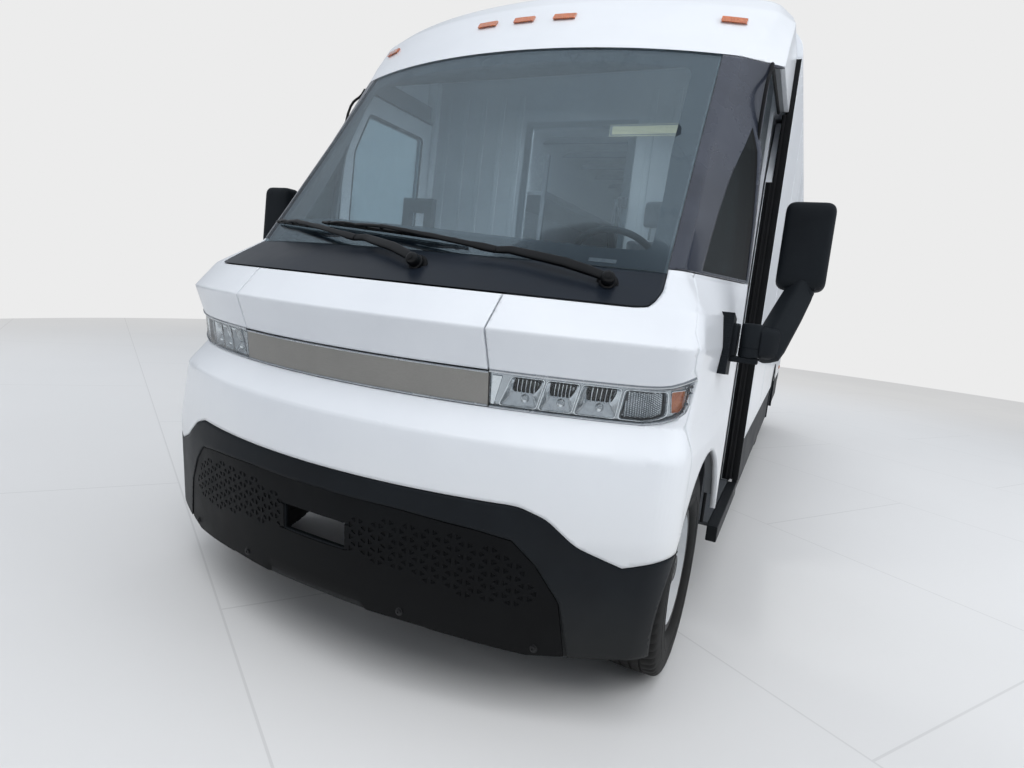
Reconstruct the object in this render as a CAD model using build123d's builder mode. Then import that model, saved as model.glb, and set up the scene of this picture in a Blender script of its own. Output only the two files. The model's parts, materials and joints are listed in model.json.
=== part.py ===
from build123d import *
import math
import os

os.makedirs("parts", exist_ok=True)

# Electric delivery van, left-hand drive, in millimetres. +Z is up, the nose points along -Y,
# +X is the vehicle's left. The origin is on the ground, under the middle of the whole van.

# ---- driving dimensions ------------------------------------------------------------------
length = 7390
height = 2770
wheelbase = 4661
front_overhang = 815
tyre_radius = 372
tyre_width = 225
track_half = 930
rim_radius = 205
cab_half = 1085
cargo_half = 1110
cargo_floor = 700
door_front = 1250
door_rear = 2100
door_sill = 420
door_top = 2330
belt = 1425
screen_base = 1412
screen_top = 2338
nose_radius = 1850

panel = 20
glass = 8
wall = 30
seam = 4
touch = 0.3
clear = 6
running = 0.05

front = -length / 2
rear = length / 2
front_axle = front + front_overhang
rear_axle_y = front_axle + wheelbase
frame_seat = panel + touch
cab_back = door_rear
cargo_front = cab_back + touch
rear_face = length - 70
arch_radius = tyre_radius + 73
arch_centre = tyre_radius


def at(distance):
    """A place measured rearwards from the foremost point of the bumper."""
    return front + distance


# ---- the cab's outer form ----------------------------------------------------------------
# Each level is height, how far the nose lies back, half width at the front corner,
# how far back the flank reaches full width, that half width, and the corner's radius.
bumper_foot = (225, 44, 1030, door_front, cab_half, 140)
bumper_crease = (610, 0, 1060, door_front, cab_half, 150)
bumper_lip = (690, 6, 1060, door_front, cab_half, 150)
shelf_crease = (865, 22, 1062, door_front, cab_half, 150)
lamp_foot = (950, 110, 1040, door_front, cab_half, 140)
lamp_head = (1062, 90, 1045, door_front, cab_half, 140)
hood_crease = (1190, 28, 1058, door_front, cab_half, 150)
hood_head = (1295, 130, 1035, door_front, cab_half, 130)
screen_foot = (screen_base, 362, 935, door_front, cab_half, 70)
screen_mid = (1945, 760, 905, door_front + 30, cab_half, 70)
screen_head = (screen_top, 1045, 925, door_front + 200, cab_half, 80)
visor = (2450, 1135, 985, door_front + 300, cab_half, 100)
crown_low = (2610, 1260, 1020, door_front + 450, cab_half, 120)
crown_mid = (2700, 1380, 1000, door_front + 600, cab_half - 25, 120)
crown_high = (2750, 1560, 940, door_front + 740, cab_half - 90, 120)
levels = [bumper_foot, bumper_crease, bumper_lip, shelf_crease, lamp_foot, lamp_head, hood_crease,
          hood_head, screen_foot, screen_mid, screen_head, visor, crown_low, crown_mid, crown_high]


def plan_section(level, inset):
    """The cab's outline at one height, moved inwards by the inset and open at the back."""
    z, nose, corner, flank, half, radius = level
    shoulder = at(nose) + nose_radius - math.sqrt(nose_radius ** 2 - corner ** 2)
    back = at(cab_back) + 2 * inset
    with BuildSketch(Plane.XY.offset(z)) as section:
        with BuildLine():
            ThreePointArc((-corner, shoulder), (0, at(nose)), (corner, shoulder))
            Polyline((corner, shoulder), (half, at(flank)), (half, back),
                     (-half, back), (-half, at(flank)), (-corner, shoulder))
        make_face()
        fillet(section.vertices().sort_by(Axis.Y)[:2], radius)
        if inset:
            offset(amount=-inset, kind=Kind.INTERSECTION)
    return section.sketch.face()


def cab_form(inset):
    """The closed cab form, a given depth below the outer skin."""
    with BuildPart() as form:
        sections = [plan_section(level, inset) for level in levels]
        loft(sections=sections, ruled=True)
    return form.part


def cab_skin(outer, inner):
    """A shell between two depths below the outer skin, open at the foot and the back."""
    with BuildPart() as skin:
        add(cab_form(outer))
        with BuildPart(mode=Mode.PRIVATE) as core:
            add(cab_form(inner))
        add(core.part, mode=Mode.SUBTRACT)
    return skin.part


# ---- shapes used over and over -----------------------------------------------------------
def slab(x, y, z):
    """A block between two widths, two distances from the nose and two heights."""
    with BuildPart() as block:
        with Locations(((x[0] + x[1]) / 2, at((y[0] + y[1]) / 2), (z[0] + z[1]) / 2)):
            Box(x[1] - x[0], y[1] - y[0], z[1] - z[0])
    return block.part


def front_block(corners, near, far):
    """A block with a front-view outline, between two distances from the nose."""
    with BuildPart() as block:
        with BuildSketch(Plane.XZ.offset(-at(near))):
            with BuildLine():
                Polyline(*corners, close=True)
            make_face()
        extrude(amount=near - far)
    return block.part


def side_block(corners, inner, outer):
    """A block with a side-view outline of distances from the nose and heights."""
    with BuildPart() as block:
        with BuildSketch(Plane.YZ.offset(inner)):
            with BuildLine():
                Polyline(*[(at(distance), z) for distance, z in corners], close=True)
            make_face()
        extrude(amount=outer - inner)
    return block.part


def cross_rod(x, distance, z, radius):
    """A round bar along X."""
    with BuildPart() as rod:
        with BuildSketch(Plane.YZ.offset(x[0])):
            with Locations((at(distance), z)):
                Circle(radius)
        extrude(amount=x[1] - x[0])
    return rod.part


def post(x, distance, z, radius):
    """A round bar along Z."""
    with BuildPart() as rod:
        with BuildSketch(Plane.XY.offset(z[0])):
            with Locations((x, at(distance))):
                Circle(radius)
        extrude(amount=z[1] - z[0])
    return rod.part


def bar(path, sizes, facing):
    """A bar along a path, from one width and depth to another, its depth facing one way."""
    steps = 4
    with BuildPart() as rod:
        sections = []
        for step in range(steps + 1):
            share = step / steps
            along = path % share
            depth_dir = (facing - along * facing.dot(along)).normalized()
            (width_start, depth_start), (width_end, depth_end) = sizes
            with BuildSketch(Plane(origin=path @ share, x_dir=depth_dir, z_dir=along)) as section:
                Rectangle(depth_start + (depth_end - depth_start) * share,
                          width_start + (width_end - width_start) * share)
            sections.append(section.sketch.face())
        loft(sections=sections, ruled=True)
    return rod.part


def finish(name, builder):
    """Label a piece and write its file."""
    builder.part.label = name
    export_step(builder.part, f"parts/{name}.step")


# ---- where the cab's panels part ----------------------------------------------------------
near = -100
flank_seam = 450
seam_line = [(flank_seam, 200), (flank_seam, 1098), (408, 1125), (385, 1176), (403, 1237), (458, 1300),
             (630, 1369), (725, belt)]
hood_half = 500
lip_points = [(655, 690), (735, 662), (820, 592), (940, 542), (1052, 572), (1300, 620)]
foot_points = [(60, 262), (480, 249), (710, 230), (810, 242), (960, 250), (1300, 255)]
band_points = [(830, 200), (789, 413), (716, 527), (649, 592), (542, 608), (309, 623)]
band_depth = 8
lamp_end = [(921, 953), (969, 963.5), (1009.5, 981), (1025.5, 1000), (1033.5, 1025), (1038.5, 1060),
            (1041, 1089), (1012, 1076), (985, 1065), (940, 1060)]
panel_end = [(921, 949), (972, 959.5), (1013, 977), (1030, 997), (1037.5, 1022), (1300, 1022)]
brow_end = [(940, 1064), (985, 1069.5), (1012, 1081), (1046, 1098), (1300, 1098)]
cowl_end = [(868, 1298), (890, 1303), (900, 1318), (905, 1350), (889, screen_base - touch)]
brow_inner = [(892, belt), (893, screen_base), (909, 1350), (904, 1314), (894, 1298), (872, 1292)]
screen_edge = [(887, screen_base), (870, 1945), (860, screen_top)]
doorway_outline = [(door_front, door_sill), (door_front, 2000), (door_front + 150, door_top),
                   (cab_back + 200, door_top), (cab_back + 200, door_sill)]
quarter_outline = [(785, belt + 15), (1225, belt + 15), (1225, 2040)]


def across(points):
    """A front-view line from right to left, from its left half listed outwards."""
    return [(-x, z) for x, z in reversed(points)] + points


def between(lower, upper):
    """A front-view outline between two lines that both run right across."""
    return across(lower) + list(reversed(across(upper)))


def shifted(points, rise):
    return [(x, z + rise) for x, z in points]


skin = cab_skin(0, panel)
carrier_skin = cab_skin(frame_seat, frame_seat + wall)
ahead_of_seam = side_block([(near, 200)] + [(y - seam / 2, z) for y, z in seam_line] + [(near, belt)], -1300, 1300)
arch_cut = cross_rod((-1500, 1500), front_overhang, arch_centre, arch_radius)

# ---- the cab's outer panels ---------------------------------------------------------------
with BuildPart() as bumper:
    add(skin)
    add(front_block(between(foot_points, lip_points), near, flank_seam - seam / 2), mode=Mode.INTERSECT)
    add(arch_cut, mode=Mode.SUBTRACT)
    with BuildPart(mode=Mode.PRIVATE) as recess:
        add(cab_skin(-clear, band_depth))
        add(front_block(band_points + [(-x, z) for x, z in reversed(band_points)], near, 400), mode=Mode.INTERSECT)
    add(recess.part, mode=Mode.SUBTRACT)
    add(slab((-126, 126), (near, 60), (441, 529)), mode=Mode.SUBTRACT)
finish("bumper", bumper)

with BuildPart() as front_panel:
    add(skin)
    brow_foot = lamp_head[0] + 2
    add(front_block(between(shifted(lip_points, seam), panel_end), near, flank_seam - seam / 2),
        mode=Mode.INTERSECT)
    add(arch_cut, mode=Mode.SUBTRACT)
finish("front_panel", front_panel)

lamp_outline = [(hood_half + seam, lamp_foot[0] + 3)] + lamp_end + [(hood_half + seam, brow_foot - seam)]
lamp_depth = 80

with BuildPart() as headlamps:
    add(cab_skin(0, lamp_depth))
    add(front_block(lamp_outline, near, flank_seam - seam / 2), mode=Mode.INTERSECT)
    mirror(about=Plane.YZ)
finish("headlamps", headlamps)

with BuildPart() as light_bar:
    add(skin)
    add(slab((-hood_half, hood_half), (near, 300), (lamp_foot[0] + 3, brow_foot - seam)), mode=Mode.INTERSECT)
finish("light_bar", light_bar)

hood_foot = brow_foot + 2
hood_top = hood_head[0] - 3
cowl_foot = hood_top + clear
hood_side = hood_half - 3

with BuildPart() as hood:
    add(skin)
    add(slab((-hood_side, hood_side), (near, 400), (hood_foot, hood_top)), mode=Mode.INTERSECT)
finish("hood", hood)

with BuildPart() as brow_panels:
    add(skin)
    brow_outline = ([(hood_side + clear, brow_foot)] + brow_end + [(1300, belt)] + brow_inner
                    + [(hood_side + clear, hood_top)])
    add(front_block(brow_outline, near, 760), mode=Mode.INTERSECT)
    add(ahead_of_seam, mode=Mode.INTERSECT)
    mirror(about=Plane.YZ)
finish("brow_panels", brow_panels)



def nose_at(z):
    """How far back the centre of the front lies at a height."""
    for low, high in zip(levels, levels[1:]):
        if low[0] <= z <= high[0]:
            return low[1] + (high[1] - low[1]) * (z - low[0]) / (high[0] - low[0])


def on_front(x, z, lift=0):
    """A point on the front's skin, lifted off it by an amount along the windscreen's normal."""
    side_angle = math.asin(x / nose_radius)
    y = at(nose_at(z)) + nose_radius * (1 - math.cos(side_angle))
    rake = (screen_mid[1] - screen_foot[1]) / (screen_mid[0] - screen_foot[0])
    normal = Vector(math.sin(side_angle), -math.cos(side_angle), rake * math.cos(side_angle)).normalized()
    return Vector(x, y, z) + normal * lift


# Each wiper: its pivot, the heel and the tip of its parked blade, then across the van and off
# the glass, the two places that the tip passes later.
wiper_z = 1359
wipers = {"left": (750, (250, 1447), (-450, 1492), (60, 34), (800, 30)),
          "right": (150, (-350, 1462), (-860, 1500), (-400, 26), (200, 30))}
blade_lift = 14
spindle_bore = 8.5
spindle_radius = 8


def wiper_axis(name):
    """The pivot and the sweep axis that keeps the tip over the glass in three places."""
    x, heel, tip, *later = wipers[name]
    pivot = on_front(x, wiper_z)
    parked = on_front(*tip, blade_lift)
    reach = (parked - pivot).length
    places = [parked]
    for place_x, lift in later:
        low, high = screen_base, screen_top
        for step in range(40):
            z = (low + high) / 2
            if (on_front(place_x, z, lift) - pivot).length < reach:
                low = z
            else:
                high = z
        places.append(on_front(place_x, low, lift))
    across_tip = (places[1] - places[0]).cross(places[2] - places[0]).normalized()
    return pivot, across_tip


with BuildPart() as cowl:
    add(skin)
    add(front_block(across(cowl_end), near, 800), mode=Mode.INTERSECT)
    for name in wipers:
        pivot, axis = wiper_axis(name)
        with BuildSketch(Plane(origin=pivot, z_dir=axis)):
            Circle(spindle_bore)
        extrude(amount=60, both=True, mode=Mode.SUBTRACT)
finish("cowl", cowl)

with BuildPart() as windscreen:
    add(cab_skin(0, glass))
    add(front_block(screen_edge + [(-x, z) for x, z in reversed(screen_edge)], near, 1600),
        mode=Mode.INTERSECT)
finish("windscreen", windscreen)

fender_foot = 500
with BuildPart() as fender_left:
    add(skin)
    fender_outline = ([(flank_seam + seam / 2, fender_foot)] + [(y + seam / 2, z) for y, z in seam_line[1:]]
                      + [(door_front - seam, belt), (door_front - seam, fender_foot)])
    add(side_block(fender_outline, 900, 1300), mode=Mode.INTERSECT)
    add(arch_cut, mode=Mode.SUBTRACT)
finish("fender_left", fender_left)

flap_y = (955, 1105)
flap_z = (960, 1085)
flap_side = (-1300, -900)
with BuildPart() as fender_right:
    mirror(fender_left.part, about=Plane.YZ)
    add(slab(flap_side, (flap_y[0] - clear, flap_y[1] + clear), (flap_z[0] - clear, flap_z[1] + clear)),
        mode=Mode.SUBTRACT)
finish("fender_right", fender_right)

with BuildPart() as charge_flap:
    add(skin)
    add(slab(flap_side, flap_y, flap_z), mode=Mode.INTERSECT)
finish("charge_flap", charge_flap)

doorway = side_block(doorway_outline, 900, 1300)
quarter_cut = side_block(quarter_outline, 850, 1300)
pillar_gap = [(x + 4, z) for x, z in screen_edge]
pillar_outline = [(891, belt + seam), (1300, belt + seam), (1300, screen_top - seam),
                  (pillar_gap[2][0], screen_top - seam), pillar_gap[1]]

with BuildPart() as pillars:
    add(skin)
    add(front_block(pillar_outline, near, door_front + 200), mode=Mode.INTERSECT)
    add(quarter_cut, mode=Mode.SUBTRACT)
    add(slab((900, 1300), (door_front - seam, 2300), (1000, 2000)), mode=Mode.SUBTRACT)
    add(doorway, mode=Mode.SUBTRACT)
    mirror(about=Plane.YZ)
finish("pillars", pillars)

with BuildPart() as quarter_glass:
    add(cab_skin(2, 2 + glass))
    pane = [(790, belt + 15.5), (1224.5, belt + 15.5), (1224.5, 2034)]
    add(side_block(pane, 850, 1300), mode=Mode.INTERSECT)
    mirror(about=Plane.YZ)
finish("quarter_glass", quarter_glass)


# ---- the cab's inner structure, on which the panels seat -----------------------------------
carrier_foot = 560
carrier_top = 2440
doorway_room = [(door_front - clear, door_sill - 100), (door_front - clear, 2000 + clear),
                (door_front + 150 - clear, door_top + clear), (cab_back + 200, door_top + clear),
                (cab_back + 200, door_sill - 100)]
quarter_room = [(800, belt + 30), (1210, belt + 30), (1210, 2000)]
screen_room = [(872, 1430), (852, 1945), (838, screen_top - 20)]

with BuildPart() as body_frame:
    add(carrier_skin)
    add(slab((-1300, 1300), (near, cab_back), (carrier_foot, carrier_top)), mode=Mode.INTERSECT)
    add(front_block(screen_room + [(-x, z) for x, z in reversed(screen_room)], near, 1700), mode=Mode.SUBTRACT)
    add(slab((-850, 850), (near, 400), (carrier_foot - 10, 640)), mode=Mode.SUBTRACT)
    add(slab((-1300, 1300), (near, 480), (lamp_foot[0] + 3 - touch, brow_foot - seam + touch)),
        mode=Mode.SUBTRACT)
    for side in (1, -1):
        lamp_room = slab((925, 1300), (near, 480), (lamp_foot[0] + 3 - touch, 1098))
        add(lamp_room if side > 0 else mirror(lamp_room, about=Plane.YZ, mode=Mode.PRIVATE), mode=Mode.SUBTRACT)
    add(slab((-hood_side - clear, hood_side + clear), (near, 500), (hood_foot + 12, cowl_foot)),
        mode=Mode.SUBTRACT)
    add(cross_rod((-1300, 1300), front_overhang, arch_centre, arch_radius + 12), mode=Mode.SUBTRACT)
    for side in (side_block(doorway_room, 900, 1300), side_block(quarter_room, 850, 1300)):
        add(side, mode=Mode.SUBTRACT)
        add(mirror(side, about=Plane.YZ, mode=Mode.PRIVATE), mode=Mode.SUBTRACT)
    for name in wipers:
        pivot, axis = wiper_axis(name)
        with BuildSketch(Plane(origin=pivot, z_dir=axis)):
            Circle(2 * spindle_radius)
        extrude(amount=90, both=True, mode=Mode.SUBTRACT)
finish("body_frame", body_frame)

with BuildPart() as cab_roof:
    with BuildPart(mode=Mode.PRIVATE) as crown_core:
        lowered = [(level[0] - panel,) + level[1:] for level in levels[levels.index(crown_low):]]
        loft(sections=[plan_section(level, panel) for level in [screen_head, visor] + lowered], ruled=True)
    add(cab_form(0))
    add(slab((-1300, 1300), (near, cab_back - seam), (screen_top, height)), mode=Mode.INTERSECT)
    add(crown_core.part, mode=Mode.SUBTRACT)
finish("cab_roof", cab_roof)

marker_x = (0, 190, -190, 870, -870)
marker_half = 48
marker_z = (2512, 2540)
with BuildPart() as marker_lamps:
    add(cab_skin(-14, -touch))
    with BuildPart(mode=Mode.PRIVATE) as marker_places:
        for x in marker_x:
            add(slab((x - marker_half, x + marker_half), (near, 1700), marker_z))
    add(marker_places.part, mode=Mode.INTERSECT)
finish("marker_lamps", marker_lamps)


# ---- cab doors, their pocket and the cargo body ---------------------------------------------
door_out = 1058
door_thick = 32
door_in = door_out - door_thick
door_travel = 835
door_foot = door_sill + 0.5
left_door_open = door_travel
pocket_end = cab_back + door_travel + 40
pocket_in = door_in - 8
pocket_top = door_top + 15
liner_half = 1000
roof_side = 2604
cargo_foot = 660
rear_arch = arch_radius - 15
arch_trim = 55
wall_in = cargo_half - wall

door_outline = [(door_front + clear, door_foot), (door_front + clear, 2000 - clear),
                (door_front + 150 + clear, door_top - clear), (cab_back + 12, door_top - clear),
                (cab_back + 12, door_foot)]
door_window = [(door_front + 90, 1180), (door_front + 90, 1985), (door_front + 200, 2215),
               (cab_back - 90, 2215), (cab_back - 90, 1180)]
pane_gap = 0.5
handle_out = 12


def inset_outline(corners, amount):
    """An outline drawn in by an amount on every side."""
    centre_y = (min(y for y, z in corners) + max(y for y, z in corners)) / 2
    centre_z = (min(z for y, z in corners) + max(z for y, z in corners)) / 2
    return [(y - math.copysign(amount, y - centre_y), z - math.copysign(amount, z - centre_z))
            for y, z in corners]


def moved_back(corners, distance):
    return [(y + distance, z) for y, z in corners]


for side, name, shift in ((1, "left", left_door_open), (-1, "right", 0)):
    with BuildPart() as cab_door:
        leaf = side_block(moved_back(door_outline, shift), door_in, door_out)
        window = side_block(moved_back(door_window, shift), door_in - 10, door_out + 10)
        handle = slab((door_out, door_out + handle_out), (door_front + shift + 60, door_front + shift + 95),
                      (940, 1130))
        with BuildPart(mode=Mode.PRIVATE) as blank:
            add(leaf)
            add(window, mode=Mode.SUBTRACT)
            add(handle)
        if side > 0:
            add(blank.part)
        else:
            mirror(blank.part, about=Plane.YZ)
    finish(f"cab_door_{name}", cab_door)

    with BuildPart() as cab_door_glass:
        pane = side_block(moved_back(inset_outline(door_window, pane_gap), shift), door_out - 14, door_out - 8)
        if side > 0:
            add(pane)
        else:
            mirror(pane, about=Plane.YZ)
    finish(f"cab_door_glass_{name}", cab_door_glass)

rear_arch_cut = cross_rod((-1500, 1500), front_overhang + wheelbase, arch_centre, rear_arch)
rear_trim_cut = cross_rod((-1500, 1500), front_overhang + wheelbase, arch_centre, rear_arch + arch_trim)
side_end = rear_face - 40

with BuildPart() as side_left:
    add(slab((wall_in, cargo_half), (cargo_front, side_end), (cargo_foot, roof_side)))
    add(slab((liner_half, wall_in), (cargo_front, pocket_end + 20), (404, roof_side)))
    add(slab((pocket_in, wall_in), (cargo_front - 10, pocket_end), (300, pocket_top)), mode=Mode.SUBTRACT)
    add(rear_trim_cut, mode=Mode.SUBTRACT)
finish("side_left", side_left)

with BuildPart() as side_right:
    mirror(side_left.part, about=Plane.YZ)
finish("side_right", side_right)

roof_radius = 150
with BuildPart() as cargo_roof:
    with BuildSketch(Plane.XZ.offset(-at(cargo_front))):
        with Locations((0, (height + roof_side) / 2)):
            Rectangle(2 * cargo_half, height - roof_side)
        fillet(vertices().group_by(Axis.Y)[-1], roof_radius)
    extrude(amount=cargo_front - side_end)
    with BuildSketch(Plane.XZ.offset(-at(cargo_front))):
        with Locations((0, (height - wall + roof_side) / 2)):
            Rectangle(2 * wall_in, height - wall - roof_side)
        fillet(vertices().group_by(Axis.Y)[-1], roof_radius - wall)
    extrude(amount=cargo_front - side_end, mode=Mode.SUBTRACT)
finish("cargo_roof", cargo_roof)

cladding_out = cargo_half - 5
with BuildPart() as cladding:
    add(slab((wall_in, cladding_out), (cargo_front, side_end), (380, cargo_foot - touch)))
    with BuildSketch(Plane.YZ.offset(wall_in)):
        with Locations((rear_axle_y, arch_centre)):
            Circle(rear_arch + arch_trim - touch)
    extrude(amount=cargo_half + 4 - wall_in)
    add(rear_arch_cut, mode=Mode.SUBTRACT)
    add(slab((0, 1400), (4500, 6500), (-200, 380)), mode=Mode.SUBTRACT)
    add(slab((door_out + 4, cladding_out), (door_front + 15, cargo_front), (350, door_sill - 4)))
    mirror(about=Plane.YZ)
finish("cladding", cladding)

portal_half = 1000
portal_top = 2480
with BuildPart() as rear_frame:
    with BuildSketch(Plane.XZ.offset(-at(side_end))):
        with Locations((0, (height + 560) / 2)):
            Rectangle(2 * cargo_half, height - 560)
        fillet(vertices().group_by(Axis.Y)[-1], roof_radius)
        with Locations((0, (cargo_floor + portal_top) / 2)):
            Rectangle(2 * portal_half, portal_top - cargo_floor, mode=Mode.SUBTRACT)
    extrude(amount=-40)

# ---- floor, step wells and wheel houses -------------------------------------------------------
floor_foot = cargo_floor - 40
well_in = 700
tread_thick = 16
house = 5
house_in = 545
well_back = cargo_front - touch
rear_house_in = 755
rear_house = rear_arch + 1
house_chord = math.sqrt((rear_house + house) ** 2 - (floor_foot - arch_centre) ** 2) + touch
with BuildPart() as floor:
    add(slab((-liner_half + touch, liner_half - touch), (1275, pocket_end + 21), (floor_foot, cargo_floor)))
    add(slab((-wall_in + touch, wall_in - touch), (pocket_end + 20.5, side_end - touch), (floor_foot, cargo_floor)))
    add(slab((-house_in + touch, house_in - touch), (760, 1275), (floor_foot, cargo_floor)))
    add(slab((-house_in + touch, house_in - touch), (740, 760), (floor_foot, 1180)))
    for side in (1, -1):
        well = slab((well_in, 1300), (1300, cab_back - 5), (0, 800))
        tread = slab((well_in - 10, door_in - clear), (1290, well_back), (door_sill - tread_thick, door_sill))
        track = slab((door_in - clear, door_out + 2), (1290, pocket_end - 5), (door_sill - tread_thick, door_sill))
        riser = slab((well_in - 10, well_in), (1290, well_back), (door_sill - tread_thick, cargo_floor))
        front_wall = slab((well_in - 10, 1020), (1290, 1300), (door_sill - tread_thick, cargo_floor))
        rear_wall = slab((well_in - 10, liner_half - touch), (cab_back - 5, well_back),
                         (door_sill - tread_thick, cargo_floor))
        wheel_room = slab((rear_house_in - touch, 1300), (front_overhang + wheelbase - house_chord,
                                                          front_overhang + wheelbase + house_chord), (0, 900))
        for piece, mode in ((well, Mode.SUBTRACT), (wheel_room, Mode.SUBTRACT), (tread, Mode.ADD),
                            (track, Mode.ADD), (riser, Mode.ADD), (front_wall, Mode.ADD), (rear_wall, Mode.ADD)):
            if side > 0:
                add(piece, mode=mode)
            else:
                add(mirror(piece, about=Plane.YZ, mode=Mode.PRIVATE), mode=mode)
finish("floor", floor)

with BuildPart() as wheel_houses:
    for y, radius, inner, outer, foot in ((front_axle, arch_radius + 2, house_in, 1000, 600),
                                          (rear_axle_y, rear_house, rear_house_in, wall_in - 2, 500)):
        with BuildSketch(Plane.YZ.offset(inner)):
            with Locations((y, arch_centre)):
                Circle(radius + house)
        extrude(amount=outer - inner)
        with BuildSketch(Plane.YZ.offset(inner + house)):
            with Locations((y, arch_centre)):
                Circle(radius)
        extrude(amount=outer - inner, mode=Mode.SUBTRACT)
        with Locations((inner, y, foot - 1000)):
            Box(3000, 1200, 2000, mode=Mode.SUBTRACT)
    mirror(about=Plane.YZ)
finish("wheel_houses", wheel_houses)

# ---- chassis, battery and drive ----------------------------------------------------------------
rail_in = 400
rail_out = 480
rail_foot = 500
rail_top = floor_foot - touch
battery_front = 1480
battery_rear = 4800
with BuildPart() as chassis_frame:
    add(slab((rail_in, rail_out), (160, side_end - touch), (rail_foot, rail_top)))
    mirror(about=Plane.YZ)
    for distance in (160, 1380, 4860, 6200, side_end - 100):
        add(slab((-rail_in, rail_in), (distance, distance + 60), (rail_foot + 20, rail_top - 20)))
finish("chassis_frame", chassis_frame)

with BuildPart() as battery_pack:
    add(slab((-385, 385), (battery_front, battery_rear), (320, floor_foot - touch)))
finish("battery_pack", battery_pack)

shaft_end = 780
king_pin = 845
pin_radius = 10
lower_arm = (270, 296)
upper_arm = (500, 522)
with BuildPart() as drive_unit:
    add(slab((-250, 250), (front_overhang - 180, front_overhang + 200), (lower_arm[0] + touch, 640)))
    add(cross_rod((-shaft_end, shaft_end), front_overhang, tyre_radius, 18))
finish("drive_unit", drive_unit)



def wishbone(root, z, spread):
    with BuildPart() as arm:
        with BuildSketch(Plane.XY.offset(z[0])):
            with BuildLine():
                Polyline((root, front_axle - spread), (king_pin, front_axle - 25),
                         (king_pin + 18, front_axle), (king_pin, front_axle + 25),
                         (root, front_axle + spread), close=True)
            make_face()
            with Locations((king_pin, front_axle)):
                Circle(pin_radius + running, mode=Mode.SUBTRACT)
        extrude(amount=z[1] - z[0])
    return arm.part


with BuildPart() as front_suspension:
    add(slab((0, rail_in - 10), (front_overhang - 170, front_overhang + 170), (240, lower_arm[0])))
    for distance in (front_overhang - 170, front_overhang + 130):
        add(slab((rail_in - 20, rail_out - 10), (distance, distance + 40), (240, rail_foot - touch)))
    add(wishbone(rail_in - 20, lower_arm, 150))
    add(wishbone(rail_out + touch, upper_arm, 100))
    add(post(600, front_overhang + 45, (lower_arm[0], 640), 20))
    add(cross_rod((0, 1000), front_overhang, tyre_radius, 24), mode=Mode.SUBTRACT)
    mirror(about=Plane.YZ)
finish("front_suspension", front_suspension)

spindle = 32
hub_end = track_half + 48
for side, name in ((1, "left"), (-1, "right")):
    with BuildPart() as blank:
        add(slab((king_pin - 25, king_pin + 20), (front_overhang - 30, front_overhang + 30), (lower_arm[1] + 5, 490)))
        add(post(king_pin, front_overhang, (lower_arm[0] - 3, 500), pin_radius))
        add(post(king_pin, front_overhang, (480, upper_arm[1] + 4), pin_radius))
        add(cross_rod((king_pin, hub_end), front_overhang, tyre_radius, spindle))
    with BuildPart() as knuckle:
        if side > 0:
            add(blank.part)
        else:
            mirror(blank.part, about=Plane.YZ)
    finish(f"knuckle_{name}", knuckle)

rear_distance = front_overhang + wheelbase
with BuildPart() as rear_axle:
    add(cross_rod((0, track_half - 60), rear_distance, tyre_radius, 45))
    add(cross_rod((0, hub_end), rear_distance, tyre_radius, spindle))
    add(slab((rail_in + 5, rail_out - 5), (rear_distance - 60, rear_distance + 60), (tyre_radius, 445)))
    add(slab((rail_in + 5, rail_out - 5), (rear_distance - 620, rear_distance + 620), (425, 447)))
    for distance in (rear_distance - 620, rear_distance + 580):
        add(slab((rail_in + 5, rail_out - 5), (distance, distance + 40), (425, rail_foot - touch)))
    mirror(about=Plane.YZ)
finish("rear_axle", rear_axle)

# ---- wheels ----------------------------------------------------------------------------------
barrel = rim_radius - touch
flange = rim_radius + 17
rim_half = 90
seat_half = rim_half - 8
rim_profile = [(-rim_half, barrel - 9), (-rim_half, flange), (-seat_half, flange), (-seat_half, barrel),
               (seat_half, barrel), (seat_half, flange), (rim_half, flange), (rim_half, barrel - 9)]
disc_profile = [(34, barrel - 5), (46, barrel - 5), (62, 150), (62, 110), (50, 88), (50, spindle + running),
                (14, spindle + running), (14, 60), (36, 88), (48, 110), (48, 150)]
tyre_profile = [(-seat_half + touch, rim_radius), (-seat_half + touch, flange + touch), (-100, 236),
                (-tyre_width / 2, 286), (-108, 345), (-90, tyre_radius), (90, tyre_radius), (108, 345),
                (tyre_width / 2, 286), (100, 236), (seat_half - touch, flange + touch), (seat_half - touch, rim_radius)]
slot_count = 10
hub_cap = (50, 84, 46)
lug = (48, 74, 13)
lug_circle = 65
lug_count = 5


def turned(profile, side, y):
    """A profile of (width from the wheel's middle, radius), turned about the axle."""
    with BuildPart() as ring:
        with BuildSketch(Plane.XZ.offset(-y)):
            with BuildLine():
                Polyline(*[(side * (track_half + x), tyre_radius + r) for x, r in profile], close=True)
            make_face()
        revolve(axis=Axis((0, y, tyre_radius), (1, 0, 0)))
    return ring.part


for end, y in (("front", front_axle), ("rear", rear_axle_y)):
    for name, side in (("left", 1), ("right", -1)):
        with BuildPart() as rim:
            add(turned(rim_profile, side, y))
            add(turned(disc_profile, side, y))
            with BuildSketch(Plane.YZ.offset(side * track_half)):
                with Locations((y, tyre_radius)):
                    with PolarLocations(168, slot_count):
                        Ellipse(11, 22)
            extrude(amount=side * 100, mode=Mode.SUBTRACT)
            low, high, radius = hub_cap
            with BuildSketch(Plane.YZ.offset(side * (track_half + low))):
                with Locations((y, tyre_radius)):
                    Circle(radius)
            extrude(amount=side * (high - low))
            low, high, radius = lug
            with BuildSketch(Plane.YZ.offset(side * (track_half + low))):
                with Locations((y, tyre_radius)):
                    with PolarLocations(lug_circle, lug_count):
                        Circle(radius)
            extrude(amount=side * (high - low))
        finish(f"rim_{end}_{name}", rim)

        with BuildPart() as tyre:
            add(turned(tyre_profile, side, y))
        finish(f"tyre_{end}_{name}", tyre)


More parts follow.
